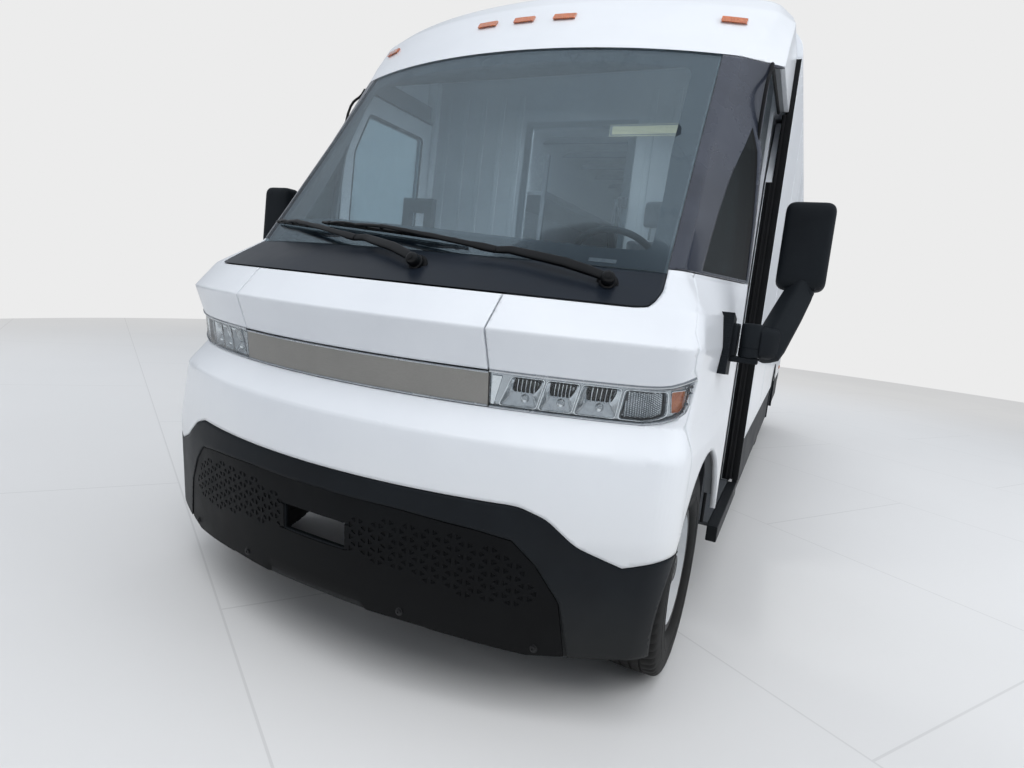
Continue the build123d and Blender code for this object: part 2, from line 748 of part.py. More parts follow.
# ---- rear doors, lamps and step ---------------------------------------------------------------
rear_door_thick = 38
rear_pin = (portal_half + 4, rear_face + 14)
hinge_pin = 8
hinge_heights = (900, 1590, 2280)
barrel_radius = 14
strap = 7
rod_x = 95
rod_radius = 11
rod_stand = 15
keeper_heights = (760, 1130, 1590, 2050, 2420)
lever = (1180, 1225)
lever_end = 330
plate_pitch = 178
plate_z = 510
plate_hole = 3.5
plate_hole_depth = 30

with BuildPart() as rear_frame_hinged:
    add(rear_frame.part)
    for z in hinge_heights:
        pin = post(rear_pin[0], rear_pin[1], (z - 75, z + 75), hinge_pin)
        for low, high in ((z - 75, z - 52), (z + 52, z + 75)):
            ear = slab((rear_pin[0], rear_pin[0] + 60), (rear_face - touch, rear_face + strap), (low, high))
            knuckle = post(rear_pin[0], rear_pin[1], (low, high), barrel_radius)
            for piece in (ear, knuckle):
                add(piece)
                add(mirror(piece, about=Plane.YZ, mode=Mode.PRIVATE))
        add(pin)
        add(mirror(pin, about=Plane.YZ, mode=Mode.PRIVATE))
finish("rear_frame", rear_frame_hinged)

for side, name in ((1, "left"), (-1, "right")):
    with BuildPart() as blank:
        add(slab((3, portal_half - clear), (rear_face - 1 - rear_door_thick, rear_face - 1),
                 (cargo_floor + clear, portal_top - clear)))
        for z in hinge_heights:
            add(slab((rear_pin[0] - 130, portal_half - clear), (rear_face - 1, rear_face + strap), (z - 46, z + 46)))
            add(slab((rear_pin[0] - 30, rear_pin[0]), (rear_face + touch, rear_face + strap), (z - 46, z + 46)))
            add(post(rear_pin[0], rear_pin[1], (z - 46, z + 46), barrel_radius))
            add(post(rear_pin[0], rear_pin[1], (z - 50, z + 50), hinge_pin + running), mode=Mode.SUBTRACT)
        add(post(rod_x, rear_face + rod_stand, (cargo_floor + 30, portal_top - 30), rod_radius))
        for z in keeper_heights:
            add(slab((rod_x - 26, rod_x + 26), (rear_face - 1, rear_face + rod_stand), (z - 16, z + 16)))
        add(slab((rod_x, lever_end), (rear_face + rod_stand - 5, rear_face + rod_stand + 5), lever))
        add(slab((lever_end - 60, lever_end), (rear_face - 1, rear_face + rod_stand), lever))
    with BuildPart() as rear_door:
        if side > 0:
            add(blank.part)
        else:
            mirror(blank.part, about=Plane.YZ)
    finish(f"rear_door_{name}", rear_door)

with BuildPart() as rear_lamps:
    add(slab((1020, 1095), (rear_face + touch, rear_face + 20), (1050, 1450)))
    mirror(about=Plane.YZ)
finish("rear_lamps", rear_lamps)

with BuildPart() as rear_step:
    add(slab((-portal_half, portal_half), (rear_face + touch, length), (420, 600)))
    with BuildSketch(Plane.XZ.offset(-at(length))):
        with Locations((-plate_pitch / 2, plate_z), (plate_pitch / 2, plate_z)):
            Circle(plate_hole)
    extrude(amount=plate_hole_depth, mode=Mode.SUBTRACT)
finish("rear_step", rear_step)

# ---- bulkhead and shelves ----------------------------------------------------------------------
bulkhead_at = (2150, 2180)
gate = (-340, 300)
gate_top = 2300
gate_width = 655
gate_travel = 645
with BuildPart() as bulkhead:
    half = liner_half - touch
    outline = [(half, cargo_floor + touch), (half, roof_side + 56), (930, height - wall - touch)]
    add(front_block(outline + [(-x, z) for x, z in reversed(outline)], *bulkhead_at))
    add(slab(gate, (2100, 2200), (cargo_floor, gate_top)), mode=Mode.SUBTRACT)
finish("bulkhead", bulkhead)

with BuildPart() as bulkhead_door:
    closed_left = gate[1] + 7
    add(slab((closed_left - gate_width - gate_travel, closed_left - gate_travel),
             (bulkhead_at[1] + clear, bulkhead_at[1] + clear + 25), (cargo_floor + 0.5, gate_top + 12)))
finish("bulkhead_door", bulkhead_door)

shelf_in = 560
shelf_post = 30
shelf_heights = (1150, 1600, 2050)
with BuildPart() as shelves:
    for z in shelf_heights:
        add(slab((shelf_in + shelf_post + touch, wall_in - touch), (3050, 7030), (z, z + 25)))
    for distance in (3050, 5025, 7030 - shelf_post):
        add(slab((shelf_in, shelf_in + shelf_post), (distance, distance + shelf_post),
                 (cargo_floor + touch, 2350)))
    mirror(about=Plane.YZ)
finish("shelves", shelves)

# ---- the cab inside ----------------------------------------------------------------------------
wheel_centre = Vector(540, at(1230), 1455)
column_dir = Vector(0, 0.77, 0.64).normalized()
column = Plane(origin=wheel_centre, z_dir=column_dir)
wheel_ring = 190
hub_depth = 44
dash_half = 880
dash_outline = [(766, 1080), (766, 1190), (480, 1300), (480, 1388), (1000, 1352), (1085, 1290),
                (1095, 1130), (1000, 1080)]
with BuildPart() as dashboard:
    add(side_block(dash_outline, -dash_half, dash_half))
    add(cab_form(frame_seat + wall + touch), mode=Mode.INTERSECT)
    with BuildSketch(column.offset(-hub_depth - touch)):
        Circle(28)
    extrude(amount=-240)
finish("dashboard", dashboard)

with BuildPart() as steering_wheel:
    with BuildPart(column):
        Torus(wheel_ring, 14)
    with BuildSketch(column.offset(-hub_depth)):
        Circle(52)
    extrude(amount=hub_depth)
    with BuildSketch(column.offset(-20)):
        Rectangle(2 * wheel_ring, 34)
        with Locations((0, -wheel_ring / 2)):
            Rectangle(44, wheel_ring)
    extrude(amount=14)
finish("steering_wheel", steering_wheel)

seat_x = 540
seat_top = 1090
with BuildPart() as seat_base:
    add(slab((seat_x - 150, seat_x + 150), (1500, 1860), (cargo_floor + touch, 960)))
finish("seat_base", seat_base)

with BuildPart() as driver_seat:
    add(slab((seat_x - 210, seat_x + 210), (1430, 1930), (960 + touch, seat_top)))
    add(side_block([(1870, seat_top), (1985, seat_top), (2100, 1700), (2020, 1700)], seat_x - 200, seat_x + 200))
    add(side_block([(2030, 1700), (2095, 1700), (2120, 1890), (2060, 1890)], seat_x - 110, seat_x + 110))
finish("driver_seat", driver_seat)

jump_x = -760
jump_half = 195
jump_pin = (1588, 1106)
jump_back = 1606
with BuildPart() as jump_seat:
    add(slab((jump_x + jump_half - 90, jump_x + jump_half + 60), (1560, 1680), (cargo_floor + touch, 1045)))
    add(slab((jump_x - jump_half - 15, jump_x + jump_half + 60), (jump_back, 1680), (1030, 1100)))
    add(slab((jump_x - jump_half, jump_x + jump_half), (jump_back, 1680), (1100, 1560)))
    add(slab((jump_x - 100, jump_x + 100), (jump_back + 10, 1660), (1560, 1780)))
    add(slab((jump_x - 50, jump_x + 50), (1550, 1700), (1620, 1700)), mode=Mode.SUBTRACT)
    for side in (-1, 1):
        ear = jump_x + side * (jump_half + 11)
        add(slab((ear - 5, ear + 5), (jump_pin[0] - 12, jump_back + 2), (1080, 1122)))
        add(cross_rod((ear - 20, ear + 20), *jump_pin, 6))
finish("jump_seat", jump_seat)

with BuildPart() as jump_cushion:
    cushion = [(1220, 1050), (1592, 1050), (1592, 1106), (1580, 1118), (1220, 1118)]
    add(side_block(cushion, jump_x - jump_half, jump_x + jump_half))
    for side in (-1, 1):
        ear = jump_x + side * (jump_half + 11)
        add(cross_rod((ear - 21, ear + 21), *jump_pin, 6 + running), mode=Mode.SUBTRACT)
finish("jump_cushion", jump_cushion)

# ---- mirrors -----------------------------------------------------------------------------------
mirror_pin = (1150, 850)
mirror_pin_radius = 15
mirror_foot = 1160
head = (1188, 1348)
head_y = (1000, 1100)
head_z = (1410, 1724)
hub_radius = 36
block_foot = 1142
block_top = 1272
mirror_elbow = (1270, at(1012), 1335)
with BuildPart() as mirror_bases:
    add(side_block([(760, 1100), (885, 1090), (895, 1290), (800, 1310)], 1000, 1092))
    add(slab((1060, mirror_pin[0] - hub_radius - clear), (mirror_pin[1] - 30, mirror_pin[1] + 40),
             (block_foot, block_top)))
    add(slab((1060, mirror_pin[0] + 30), (mirror_pin[1] - 30, mirror_pin[1] + 30), (block_foot, mirror_foot)))
    add(post(*mirror_pin, (mirror_foot, block_top), mirror_pin_radius))
    add(cab_form(-touch), mode=Mode.SUBTRACT)
    mirror(about=Plane.YZ)
finish("mirror_bases", mirror_bases)

for side, name in ((1, "left"), (-1, "right")):
    with BuildPart() as blank:
        add(post(*mirror_pin, (mirror_foot + 1, block_top + 6), hub_radius))
        add(slab((mirror_pin[0] + 5, 1258), (mirror_pin[1] - 25, mirror_pin[1] + 98), (mirror_foot + 1, block_top)))
        with BuildLine(mode=Mode.PRIVATE) as lower_arm_line:
            Line((1206, at(mirror_pin[1] + 48), 1215), mirror_elbow)
        add(bar(lower_arm_line.line, ((110, 100), (70, 68)), Vector(1, 0, 0)))
        with BuildLine(mode=Mode.PRIVATE) as upper_arm_line:
            Line((1268, at(1000), 1312), (1276, at(1045), head_z[0] + 20))
        add(bar(upper_arm_line.line, ((70, 68), (62, 66)), Vector(1, 0, 0)))
        with BuildPart(mode=Mode.PRIVATE) as shell:
            add(slab(head, head_y, head_z))
            fillet(shell.edges().filter_by(Axis.Y), 30)
            fillet(shell.faces().sort_by(Axis.Y)[0].edges(), 20)
        add(shell.part)
        add(post(*mirror_pin, (mirror_foot - 5, block_top + 2), mirror_pin_radius + running), mode=Mode.SUBTRACT)
    with BuildPart() as door_mirror:
        if side > 0:
            add(blank.part)
        else:
            mirror(blank.part, about=Plane.YZ)
    finish(f"mirror_{name}", door_mirror)

# ---- wipers ------------------------------------------------------------------------------------
arm_lift = 34
arm_bow = 25
for name, (x, heel, tip, *later) in wipers.items():
    pivot, axis = wiper_axis(name)
    outward = -axis if axis.Y > 0 else axis
    middle = ((heel[0] + tip[0]) / 2, (heel[1] + tip[1]) / 2)
    elbow = ((x + middle[0]) / 2, (wiper_z + middle[1]) / 2 + arm_bow)
    hub_plane = Plane(origin=pivot, z_dir=outward)
    with BuildPart() as wiper:
        with BuildSketch(hub_plane.offset(-25)):
            Circle(spindle_radius)
        extrude(amount=50)
        with BuildSketch(hub_plane.offset(22)):
            Circle(19)
        extrude(amount=24)
        with BuildLine(mode=Mode.PRIVATE) as arm_line:
            ThreePointArc(pivot + outward * arm_lift, on_front(*elbow, arm_lift), on_front(*middle, arm_lift - 10))
        add(bar(arm_line.line, ((24, 14), (12, 12)), outward))
        with BuildLine(mode=Mode.PRIVATE) as blade_line:
            ThreePointArc(on_front(*heel, blade_lift), on_front(*middle, blade_lift), on_front(*tip, blade_lift))
        add(bar(blade_line.line, ((14, 14), (14, 14)), outward))
    finish(f"wiper_{name}", wiper)
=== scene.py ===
import json
import math

import bmesh
import bpy
from mathutils import Matrix, Vector
from mathutils.bvhtree import BVHTree
from mathutils.geometry import delaunay_2d_cdt


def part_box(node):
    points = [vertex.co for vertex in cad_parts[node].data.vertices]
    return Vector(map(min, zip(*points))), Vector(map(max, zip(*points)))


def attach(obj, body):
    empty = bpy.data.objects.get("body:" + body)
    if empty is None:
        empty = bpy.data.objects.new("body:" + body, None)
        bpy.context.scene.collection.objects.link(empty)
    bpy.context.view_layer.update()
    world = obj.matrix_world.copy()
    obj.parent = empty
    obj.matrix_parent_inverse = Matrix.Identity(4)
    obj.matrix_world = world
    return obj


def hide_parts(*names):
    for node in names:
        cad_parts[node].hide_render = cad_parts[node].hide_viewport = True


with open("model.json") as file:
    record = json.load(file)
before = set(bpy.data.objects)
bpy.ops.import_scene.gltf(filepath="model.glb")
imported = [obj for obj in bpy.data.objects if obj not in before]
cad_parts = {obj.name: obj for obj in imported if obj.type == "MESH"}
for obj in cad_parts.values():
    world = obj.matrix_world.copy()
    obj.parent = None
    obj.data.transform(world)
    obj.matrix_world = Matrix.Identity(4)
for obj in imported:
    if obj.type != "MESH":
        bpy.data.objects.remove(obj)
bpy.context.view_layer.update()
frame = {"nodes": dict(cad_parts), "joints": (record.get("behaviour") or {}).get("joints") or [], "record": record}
nodes = frame["nodes"]
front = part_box("rear_step")[1].y - 7.39  # the bumper's foremost point
print("frame loaded:", len(nodes), "nodes")


def at(distance):
    return front + distance


# small helpers

def hexColor(code):
    parts = [int(code[i:i + 2], 16) / 255 for i in (0, 2, 4)]
    return tuple(p / 12.92 if p <= 0.04045 else ((p + 0.055) / 1.055) ** 2.4 for p in parts) + (1.0,)


def addNode(tree, kind, settings):
    new = tree.nodes.new("ShaderNode" + kind)
    for key, value in settings.items():
        if isinstance(key, str) and hasattr(new, key):
            setattr(new, key, value)
            continue
        socket = new.inputs[key]
        if isinstance(value, bpy.types.NodeSocket):
            tree.links.new(value, socket)
        elif isinstance(value, str):
            socket.default_value = hexColor(value)
        else:
            socket.default_value = value
    return new


def meshPiece(name, bm, materials, smooth=35):
    bmesh.ops.recalc_face_normals(bm, faces=bm.faces)
    mesh = bpy.data.meshes.new(name)
    bm.to_mesh(mesh)
    bm.free()
    if smooth:
        mesh.shade_smooth()
        mesh.set_sharp_from_angle(angle=math.radians(smooth))
    for material in materials:
        mesh.materials.append(material)
    piece = bpy.data.objects.new(name, mesh)
    bpy.context.scene.collection.objects.link(piece)
    return piece


def onBody(piece, body, slotName, *standsFor):
    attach(piece, body)
    if standsFor:
        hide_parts(*standsFor)
    return piece


def addBox(bm, low, high, bevel=0.003, material=0, turn=None, segments=2):
    low, high = Vector(low), Vector(high)
    verts = bmesh.ops.create_cube(bm, size=1.0)["verts"]
    shape = Matrix.Translation((low + high) / 2) @ Matrix.Diagonal((*(high - low), 1))
    bmesh.ops.transform(bm, matrix=turn @ shape if turn else shape, verts=verts)
    faces = {f for v in verts for f in v.link_faces}
    for f in faces:
        f.material_index = material
    if bevel:
        bmesh.ops.bevel(bm, geom=list({e for v in verts for e in v.link_edges}), offset=bevel,
                        segments=segments, profile=0.5, affect="EDGES", clamp_overlap=True)


def addRings(bm, rings, material=0, closed=True, capStart=False, capEnd=False):
    # rings are lists of points; a ring of one point closes the form like a cone's tip
    made = [[bm.verts.new(p) for p in ring] for ring in rings]
    count = max(len(ring) for ring in made)
    for a, b in zip(made, made[1:]):
        for i in range(count if closed else count - 1):
            j = (i + 1) % count
            corners = list(dict.fromkeys((a[i % len(a)], a[j % len(a)], b[j % len(b)], b[i % len(b)])))
            if len(corners) > 2:
                bm.faces.new(corners).material_index = material
    for ring, wanted in ((made[0], capStart), (made[-1], capEnd)):
        if wanted and len(ring) > 2:
            bm.faces.new(ring).material_index = material


def addLathe(bm, profile, place, segments=48, material=0):
    # profile is (radius, along); place maps local Z to the turning axis
    rings = []
    for radius, along in profile:
        angles = [2 * math.pi * i / segments for i in range(segments)] if radius > 1e-6 else [0]
        rings.append([place @ Vector((radius * math.cos(a), radius * math.sin(a), along)) for a in angles])
    addRings(bm, rings, material)


def addTube(bm, path, radii, sides=12, material=0, flat=1.0, facing=None):
    points = [Vector(p) for p in path]
    radii = radii if isinstance(radii, (list, tuple)) else [radii] * len(points)
    side = Vector(facing) if facing else (points[1] - points[0]).orthogonal()
    rings = []
    for i, p in enumerate(points):
        ahead = (points[min(i + 1, len(points) - 1)] - points[max(i - 1, 0)]).normalized()
        side = (side - ahead * side.dot(ahead)).normalized()
        up = ahead.cross(side)
        rings.append([p + (side * math.cos(a) + up * math.sin(a) * flat) * radii[i]
                      for a in (2 * math.pi * k / sides + math.pi / sides for k in range(sides))])
    addRings(bm, rings, material, capStart=True, capEnd=True)


def smoothPath(points, perSpan=6):
    points = [Vector(p) for p in points]
    ends = [2 * points[0] - points[1]] + points + [2 * points[-1] - points[-2]]
    path = []
    for a, b, c, d in zip(ends, ends[1:], ends[2:], ends[3:]):
        for k in range(perSpan):
            t = k / perSpan
            path.append(0.5 * (2 * b + (c - a) * t + (2 * a - 5 * b + 4 * c - d) * t * t
                               + (3 * b - a - 3 * c + d) * t ** 3))
    return path + [points[-1]]


def roundedOutline(corners, radius, steps=4):
    outline = []
    count = len(corners)
    for i in range(count):
        before, corner, after = (Vector(corners[(i + k) % count]) for k in (-1, 0, 1))
        reach = min(radius, (before - corner).length / 2.2, (after - corner).length / 2.2)
        start = corner + (before - corner).normalized() * reach
        end = corner + (after - corner).normalized() * reach
        for k in range(steps + 1):
            t = k / steps
            outline.append(start * (1 - t) ** 2 + corner * 2 * t * (1 - t) + end * t * t)
    return outline


trees = {}


def treeOf(name):
    if name not in trees:
        mesh = nodes[name].data
        trees[name] = BVHTree.FromPolygons([v.co for v in mesh.vertices],
                                           [tuple(p.vertices) for p in mesh.polygons])
    return trees[name]


def cast(names, origin, direction):
    origin, direction = Vector(origin), Vector(direction)
    hits = [hit for hit in (treeOf(name).ray_cast(origin, direction) for name in names) if hit[0] is not None]
    if not hits:  # just past an edge: the solid's point nearest to the line
        depth = 1.1
        for _ in range(8):
            near = treeOf(names[0]).find_nearest(origin + direction * depth)
            depth = (near[0] - origin).dot(direction)
        return near[0], -direction
    place, normal, _, _ = min(hits, key=lambda h: h[3])
    return place, -normal if normal.dot(direction) > 0 else normal


def frontPoint(names, x, z, lift=0.0):
    place, normal = cast(names, (x, front - 1, z), (0, 1, 0))
    return place + normal * lift


def axisPlace(origin, axis):
    return Matrix.Translation(origin) @ Vector(axis).to_track_quat("Z", "Y").to_matrix().to_4x4()


# camera

cameraLook = {
    "place": (1.300, -5.225, 1.304),
    "yaw": 27.72,
    "pitch": 5.827,
    "roll": -5.998,
    "lens": 22.27,
    "shift": (0.0464, -0.0323),
}


def makeCamera(look):
    yaw, pitch, roll = (math.radians(look[k]) for k in ("yaw", "pitch", "roll"))
    ahead = Vector((-math.sin(yaw) * math.cos(pitch), math.cos(yaw) * math.cos(pitch), -math.sin(pitch)))
    right = Vector((math.cos(yaw), math.sin(yaw), 0))
    down = ahead.cross(right)
    right, down = (right * math.cos(roll) + down * math.sin(roll),
                   down * math.cos(roll) - right * math.sin(roll))
    data = bpy.data.cameras.new("camera")
    data.sensor_width = 36
    data.lens = look["lens"]
    data.shift_x, data.shift_y = look["shift"]
    data.clip_end = 200
    camera = bpy.data.objects.new("camera", data)
    bpy.context.scene.collection.objects.link(camera)
    camera.matrix_world = (Matrix.Translation(look["place"])
                           @ Matrix((right, -down, -ahead)).transposed().to_4x4())
    bpy.context.scene.camera = camera


makeCamera(cameraLook)


# materials

def newMaterial(name):
    material = bpy.data.materials.new(name)
    material.use_nodes = True
    tree = material.node_tree
    for old in list(tree.nodes):
        if old.type != "OUTPUT_MATERIAL":
            tree.nodes.remove(old)
    return material, tree


def toOutput(tree, shader):
    output = next(n for n in tree.nodes if n.type == "OUTPUT_MATERIAL")
    tree.links.new(shader, output.inputs["Surface"])


def grainHeight(tree, where, look):
    # the fine relief: one of the ways in which a finish is made
    size = look.get("grain", 0.002)
    made = look.get("made", "cast")
    if made == "woven":
        turned = addNode(tree, "Mapping", {"Vector": where, "Rotation": (math.radians(45), 0, 0)}).outputs[0]
        warp = addNode(tree, "TexWave", {"Vector": turned, "Scale": 0.31 / size, "bands_direction": "X"})
        weft = addNode(tree, "TexWave", {"Vector": turned, "Scale": 0.31 / size, "bands_direction": "Y"})
        return addNode(tree, "Math", {"operation": "MAXIMUM", 0: warp.outputs["Fac"],
                                      1: weft.outputs["Fac"]}).outputs[0]
    if made == "brushed":
        drawn = addNode(tree, "Mapping",
                        {"Vector": where, "Scale": look.get("drawn", (0.02, 1, 1))}).outputs[0]
        return addNode(tree, "TexNoise", {"Vector": drawn, "Scale": 1 / size, "Detail": 3.0}).outputs["Fac"]
    if made == "pebbled":
        return addNode(tree, "TexVoronoi", {"Vector": where, "Scale": 1 / size,
                                            "feature": "SMOOTH_F1"}).outputs["Distance"]
    if made == "ribbed":
        return addNode(tree, "TexWave", {"Vector": where, "Scale": 0.31 / size,
                                         "bands_direction": look.get("ribs", "X")}).outputs["Fac"]
    return addNode(tree, "TexNoise", {"Vector": where, "Scale": 1 / size, "Detail": 3.0}).outputs["Fac"]


def surface(name, look):
    material, tree = newMaterial(name)
    place = addNode(tree, "TexCoord", {}).outputs["Object"]
    where = addNode(tree, "Mapping", {"Vector": place, "Scale": look.get("stretch", (1, 1, 1))}).outputs[0]
    patches = addNode(tree, "TexNoise", {"Vector": where, "Scale": 1 / look.get("patch", 0.6), "Detail": 5.0,
                                         "Roughness": 0.6}).outputs["Fac"]
    height = grainHeight(tree, place, look)
    tones = addNode(tree, "ValToRGB", {"Fac": patches})
    tones.color_ramp.elements[0].position = 0.34
    tones.color_ramp.elements[1].position = 0.68
    tones.color_ramp.elements[0].color = hexColor(look["low"])
    tones.color_ramp.elements[1].color = hexColor(look["high"])
    color = tones.outputs["Color"]
    if "fleck" in look:
        share = addNode(tree, "MapRange", {"Value": height, "From Min": 0.3, "From Max": 0.7,
                                           "To Min": 0.0, "To Max": look.get("flecks", 0.5)}).outputs[0]
        color = addNode(tree, "Mix", {"data_type": "RGBA", 0: share, 6: color, 7: look["fleck"]}).outputs[2]
    # towards the part's foot the colour is drawn in patches to a second tone: light road dust on the dark parts,
    # and on the white paint a darker grey that is painted shade of the lower panels mixed with dust
    if "dustAndShade" in look:
        tone, foot, head = look["dustAndShade"]
        rise = addNode(tree, "SeparateXYZ", {0: place}).outputs["Z"]
        share = addNode(tree, "MapRange", {"Value": rise, "From Min": foot, "From Max": head,
                                           "To Min": 0.55, "To Max": 0.0}).outputs[0]
        share = addNode(tree, "Math", {"operation": "MULTIPLY", 0: share, 1: patches}).outputs[0]
        color = addNode(tree, "Mix", {"data_type": "RGBA", 0: share, 6: color, 7: tone}).outputs[2]
    rough = addNode(tree, "MapRange", {"Value": patches, "From Min": 0.3, "From Max": 0.7,
                                       "To Min": look["rough"][0], "To Max": look["rough"][1]})
    bump = addNode(tree, "Bump", {"Height": height, "Strength": look.get("bump", 0.2),
                                  "Distance": look.get("depth", 0.0003)})
    shader = addNode(tree, "BsdfPrincipled", {"Base Color": color, "Roughness": rough.outputs[0],
                                              "Normal": bump.outputs[0], **look.get("shader", {})})
    toOutput(tree, shader.outputs[0])
    return material


def glazing(name, look):
    # float glass or clear polycarbonate: seen through, with gloss that rises towards the edges
    material, tree = newMaterial(name)
    place = addNode(tree, "TexCoord", {}).outputs["Object"]
    film = addNode(tree, "TexNoise", {"Vector": place, "Scale": 1 / look.get("film", 0.3), "Detail": 4.0})
    tint = addNode(tree, "ValToRGB", {"Fac": film.outputs["Fac"]})
    tint.color_ramp.elements[0].color = hexColor(look["low"])
    tint.color_ramp.elements[1].color = hexColor(look["high"])
    through = addNode(tree, "BsdfTransparent", {"Color": tint.outputs["Color"]})
    rough = addNode(tree, "MapRange", {"Value": film.outputs["Fac"], "To Min": look["rough"][0],
                                       "To Max": look["rough"][1]})
    shine = addNode(tree, "BsdfGlossy", {"Color": look.get("shine", "ffffff"), "Roughness": rough.outputs[0]})
    edge = addNode(tree, "Fresnel", {"IOR": look.get("ior", 1.5)})
    share = addNode(tree, "Math", {"operation": "MULTIPLY_ADD", 0: edge.outputs[0], 1: look.get("gain", 1.0),
                                   2: look.get("floor", 0.02), "use_clamp": True})
    mixed = addNode(tree, "MixShader", {0: share.outputs[0], 1: through.outputs[0], 2: shine.outputs[0]})
    toOutput(tree, mixed.outputs[0])
    return material


# two-pack white under clear lacquer: a cool white, faint orange peel, sharp soft-edged gloss; from 0.9 m down to
# 0.45 m it turns in patches to a darker warm grey, painted shade of the lower forward-facing panels mixed with
# road dust
whitePaint = surface("clearCoatedWhitePaint", {
    "low": "dde1e7", "high": "e6eaef", "patch": 0.9, "grain": 0.006, "bump": 0.03, "depth": 0.0002,
    "rough": (0.28, 0.36), "dustAndShade": ("b9b4a8", 0.45, 0.9),
    "shader": {"Coat Weight": 0.45, "Coat Roughness": 0.09}})
# injection-moulded polypropylene, spark-eroded grain: dull charcoal with a broad soft sheen
bumperPlastic = surface("grainedPolypropylene", {
    "low": "14171b", "high": "1c2024", "patch": 0.3, "grain": 0.0012, "bump": 0.35, "depth": 0.0003,
    "rough": (0.44, 0.58), "dustAndShade": ("3a3833", 0.2, 0.5), "shader": {"Specular IOR Level": 0.14}})
# the same plastic with a coarser grain, which kills the sheen and looks nearly black
patternPlastic = surface("coarseGrainPolypropylene", {
    "low": "0a0b0d", "high": "101214", "patch": 0.2, "grain": 0.0015, "bump": 0.5, "depth": 0.0004,
    "rough": (0.46, 0.58), "dustAndShade": ("171614", 0.2, 0.5), "shader": {"Specular IOR Level": 0.1}})
# the unlit space behind a pierced panel
holeBlack = surface("unlitCavityBlack", {
    "low": "030303", "high": "060606", "patch": 0.05, "grain": 0.003, "bump": 0.1, "rough": (0.9, 1.0)})
# high-gloss black acrylic cap: deep, wet reflections with a hint of blue
pianoBlack = surface("glossBlackAcrylic", {
    "low": "0a0c11", "high": "10131a", "patch": 0.5, "grain": 0.01, "bump": 0.02,
    "rough": (0.1, 0.18), "shader": {"Coat Weight": 0.7, "Coat Roughness": 0.03}})
# cowl moulding: slate-grey polypropylene with a soft satin skin
cowlPlastic = surface("satinCowlPolypropylene", {
    "low": "141920", "high": "1b212a", "patch": 0.35, "grain": 0.002, "bump": 0.15,
    "rough": (0.30, 0.40), "shader": {"Specular IOR Level": 0.22}})
# pillar film: satin violet-grey over black
pillarFilm = surface("satinPillarFilm", {
    "low": "2a2e38", "high": "3a3f4b", "patch": 0.4, "grain": 0.004, "bump": 0.05,
    "rough": (0.2, 0.3), "shader": {"Coat Weight": 0.5, "Coat Roughness": 0.1}})
# laminated screen glass with a light grey-green tint
screenGlass = glazing("laminatedScreenGlass", {"low": "d9e4ea", "high": "e0eaee", "rough": (0.02, 0.05),
                                               "gain": 0.42, "floor": 0.0})
# tempered privacy glass: nearly black from outside, the room still shows faintly
privacyGlass = glazing("temperedPrivacyGlass", {"low": "6a7678", "high": "748082", "rough": (0.02, 0.05),
                                                "gain": 0.6, "floor": 0.0})
# injection-moulded polycarbonate lens: water clear, crisp highlights
clearLens = glazing("clearPolycarbonateLens", {"low": "f3f6f7", "high": "fafcfc", "rough": (0.01, 0.04),
                                               "gain": 0.6, "floor": 0.01, "ior": 1.4})
# vacuum-metallised reflector: mirror bright, slightly rippled
reflectorChrome = surface("metallisedReflector", {
    "low": "d9dde1", "high": "eceff1", "patch": 0.03, "grain": 0.008, "bump": 0.12, "depth": 0.0004,
    "rough": (0.10, 0.22), "shader": {"Metallic": 1.0}})
# satin metallised plastic behind the turn lamp's comb
lampGrey = surface("satinMetallisedPlastic", {
    "low": "6c7074", "high": "808488", "patch": 0.02, "grain": 0.003, "bump": 0.2, "rough": (0.3, 0.4),
    "shader": {"Metallic": 0.9}})
# bright trim, chromed over plastic
brightTrim = surface("satinChromeTrim", {
    "low": "aeb3b8", "high": "c6cace", "patch": 0.1, "grain": 0.004, "bump": 0.05, "rough": (0.2, 0.3),
    "shader": {"Metallic": 1.0}})
# anodised aluminium extrusion, brushed along its length: warm grey with fine lines
brushedStrip = surface("brushedAnodisedStrip", {
    "low": "8d8c89", "high": "9a9894", "patch": 0.25, "grain": 0.0016, "made": "brushed", "bump": 0.25,
    "depth": 0.0002, "rough": (0.32, 0.42), "fleck": "7c7b78", "flecks": 0.3, "shader": {"Metallic": 0.85}})
# dark lamp optics: smoked polycarbonate blocks
smokedOptic = surface("smokedOpticBlock", {
    "low": "0d0f12", "high": "1b1e23", "patch": 0.02, "grain": 0.003, "made": "ribbed", "bump": 0.5,
    "rough": (0.05, 0.12), "shader": {"Coat Weight": 1.0}})
# moulded amber acrylic with prisms behind its face
amberLens = surface("amberPrismAcrylic", {
    "low": "a9532c", "high": "c76f3e", "patch": 0.02, "grain": 0.004, "made": "pebbled", "bump": 0.6,
    "depth": 0.0012, "rough": (0.12, 0.2), "fleck": "d98a5a", "flecks": 0.6,
    "shader": {"Coat Weight": 1.0, "Coat Roughness": 0.03, "Subsurface Weight": 0.15}})
redLens = surface("redPrismAcrylic", {
    "low": "7c0d10", "high": "9a1518", "patch": 0.02, "grain": 0.005, "made": "pebbled", "bump": 0.6,
    "depth": 0.0012, "rough": (0.1, 0.18), "fleck": "b52a2a", "flecks": 0.6,
    "shader": {"Coat Weight": 1.0, "Coat Roughness": 0.03}})
# stippled rubber flooring
floorRubber = surface("stippledFloorRubber", {
    "low": "3b3e42", "high": "474a4e", "patch": 0.4, "grain": 0.009, "made": "pebbled", "bump": 0.5,
    "depth": 0.0008, "rough": (0.55, 0.75), "fleck": "55585c", "flecks": 0.4})
# electro-dipped and powder-coated steel chassis: satin black, fine orange peel
chassisPaint = surface("powderCoatedChassisSteel", {
    "low": "17181a", "high": "212224", "patch": 0.25, "grain": 0.003, "bump": 0.3, "rough": (0.4, 0.6),
    "dustAndShade": ("55514a", 0.2, 0.7)})
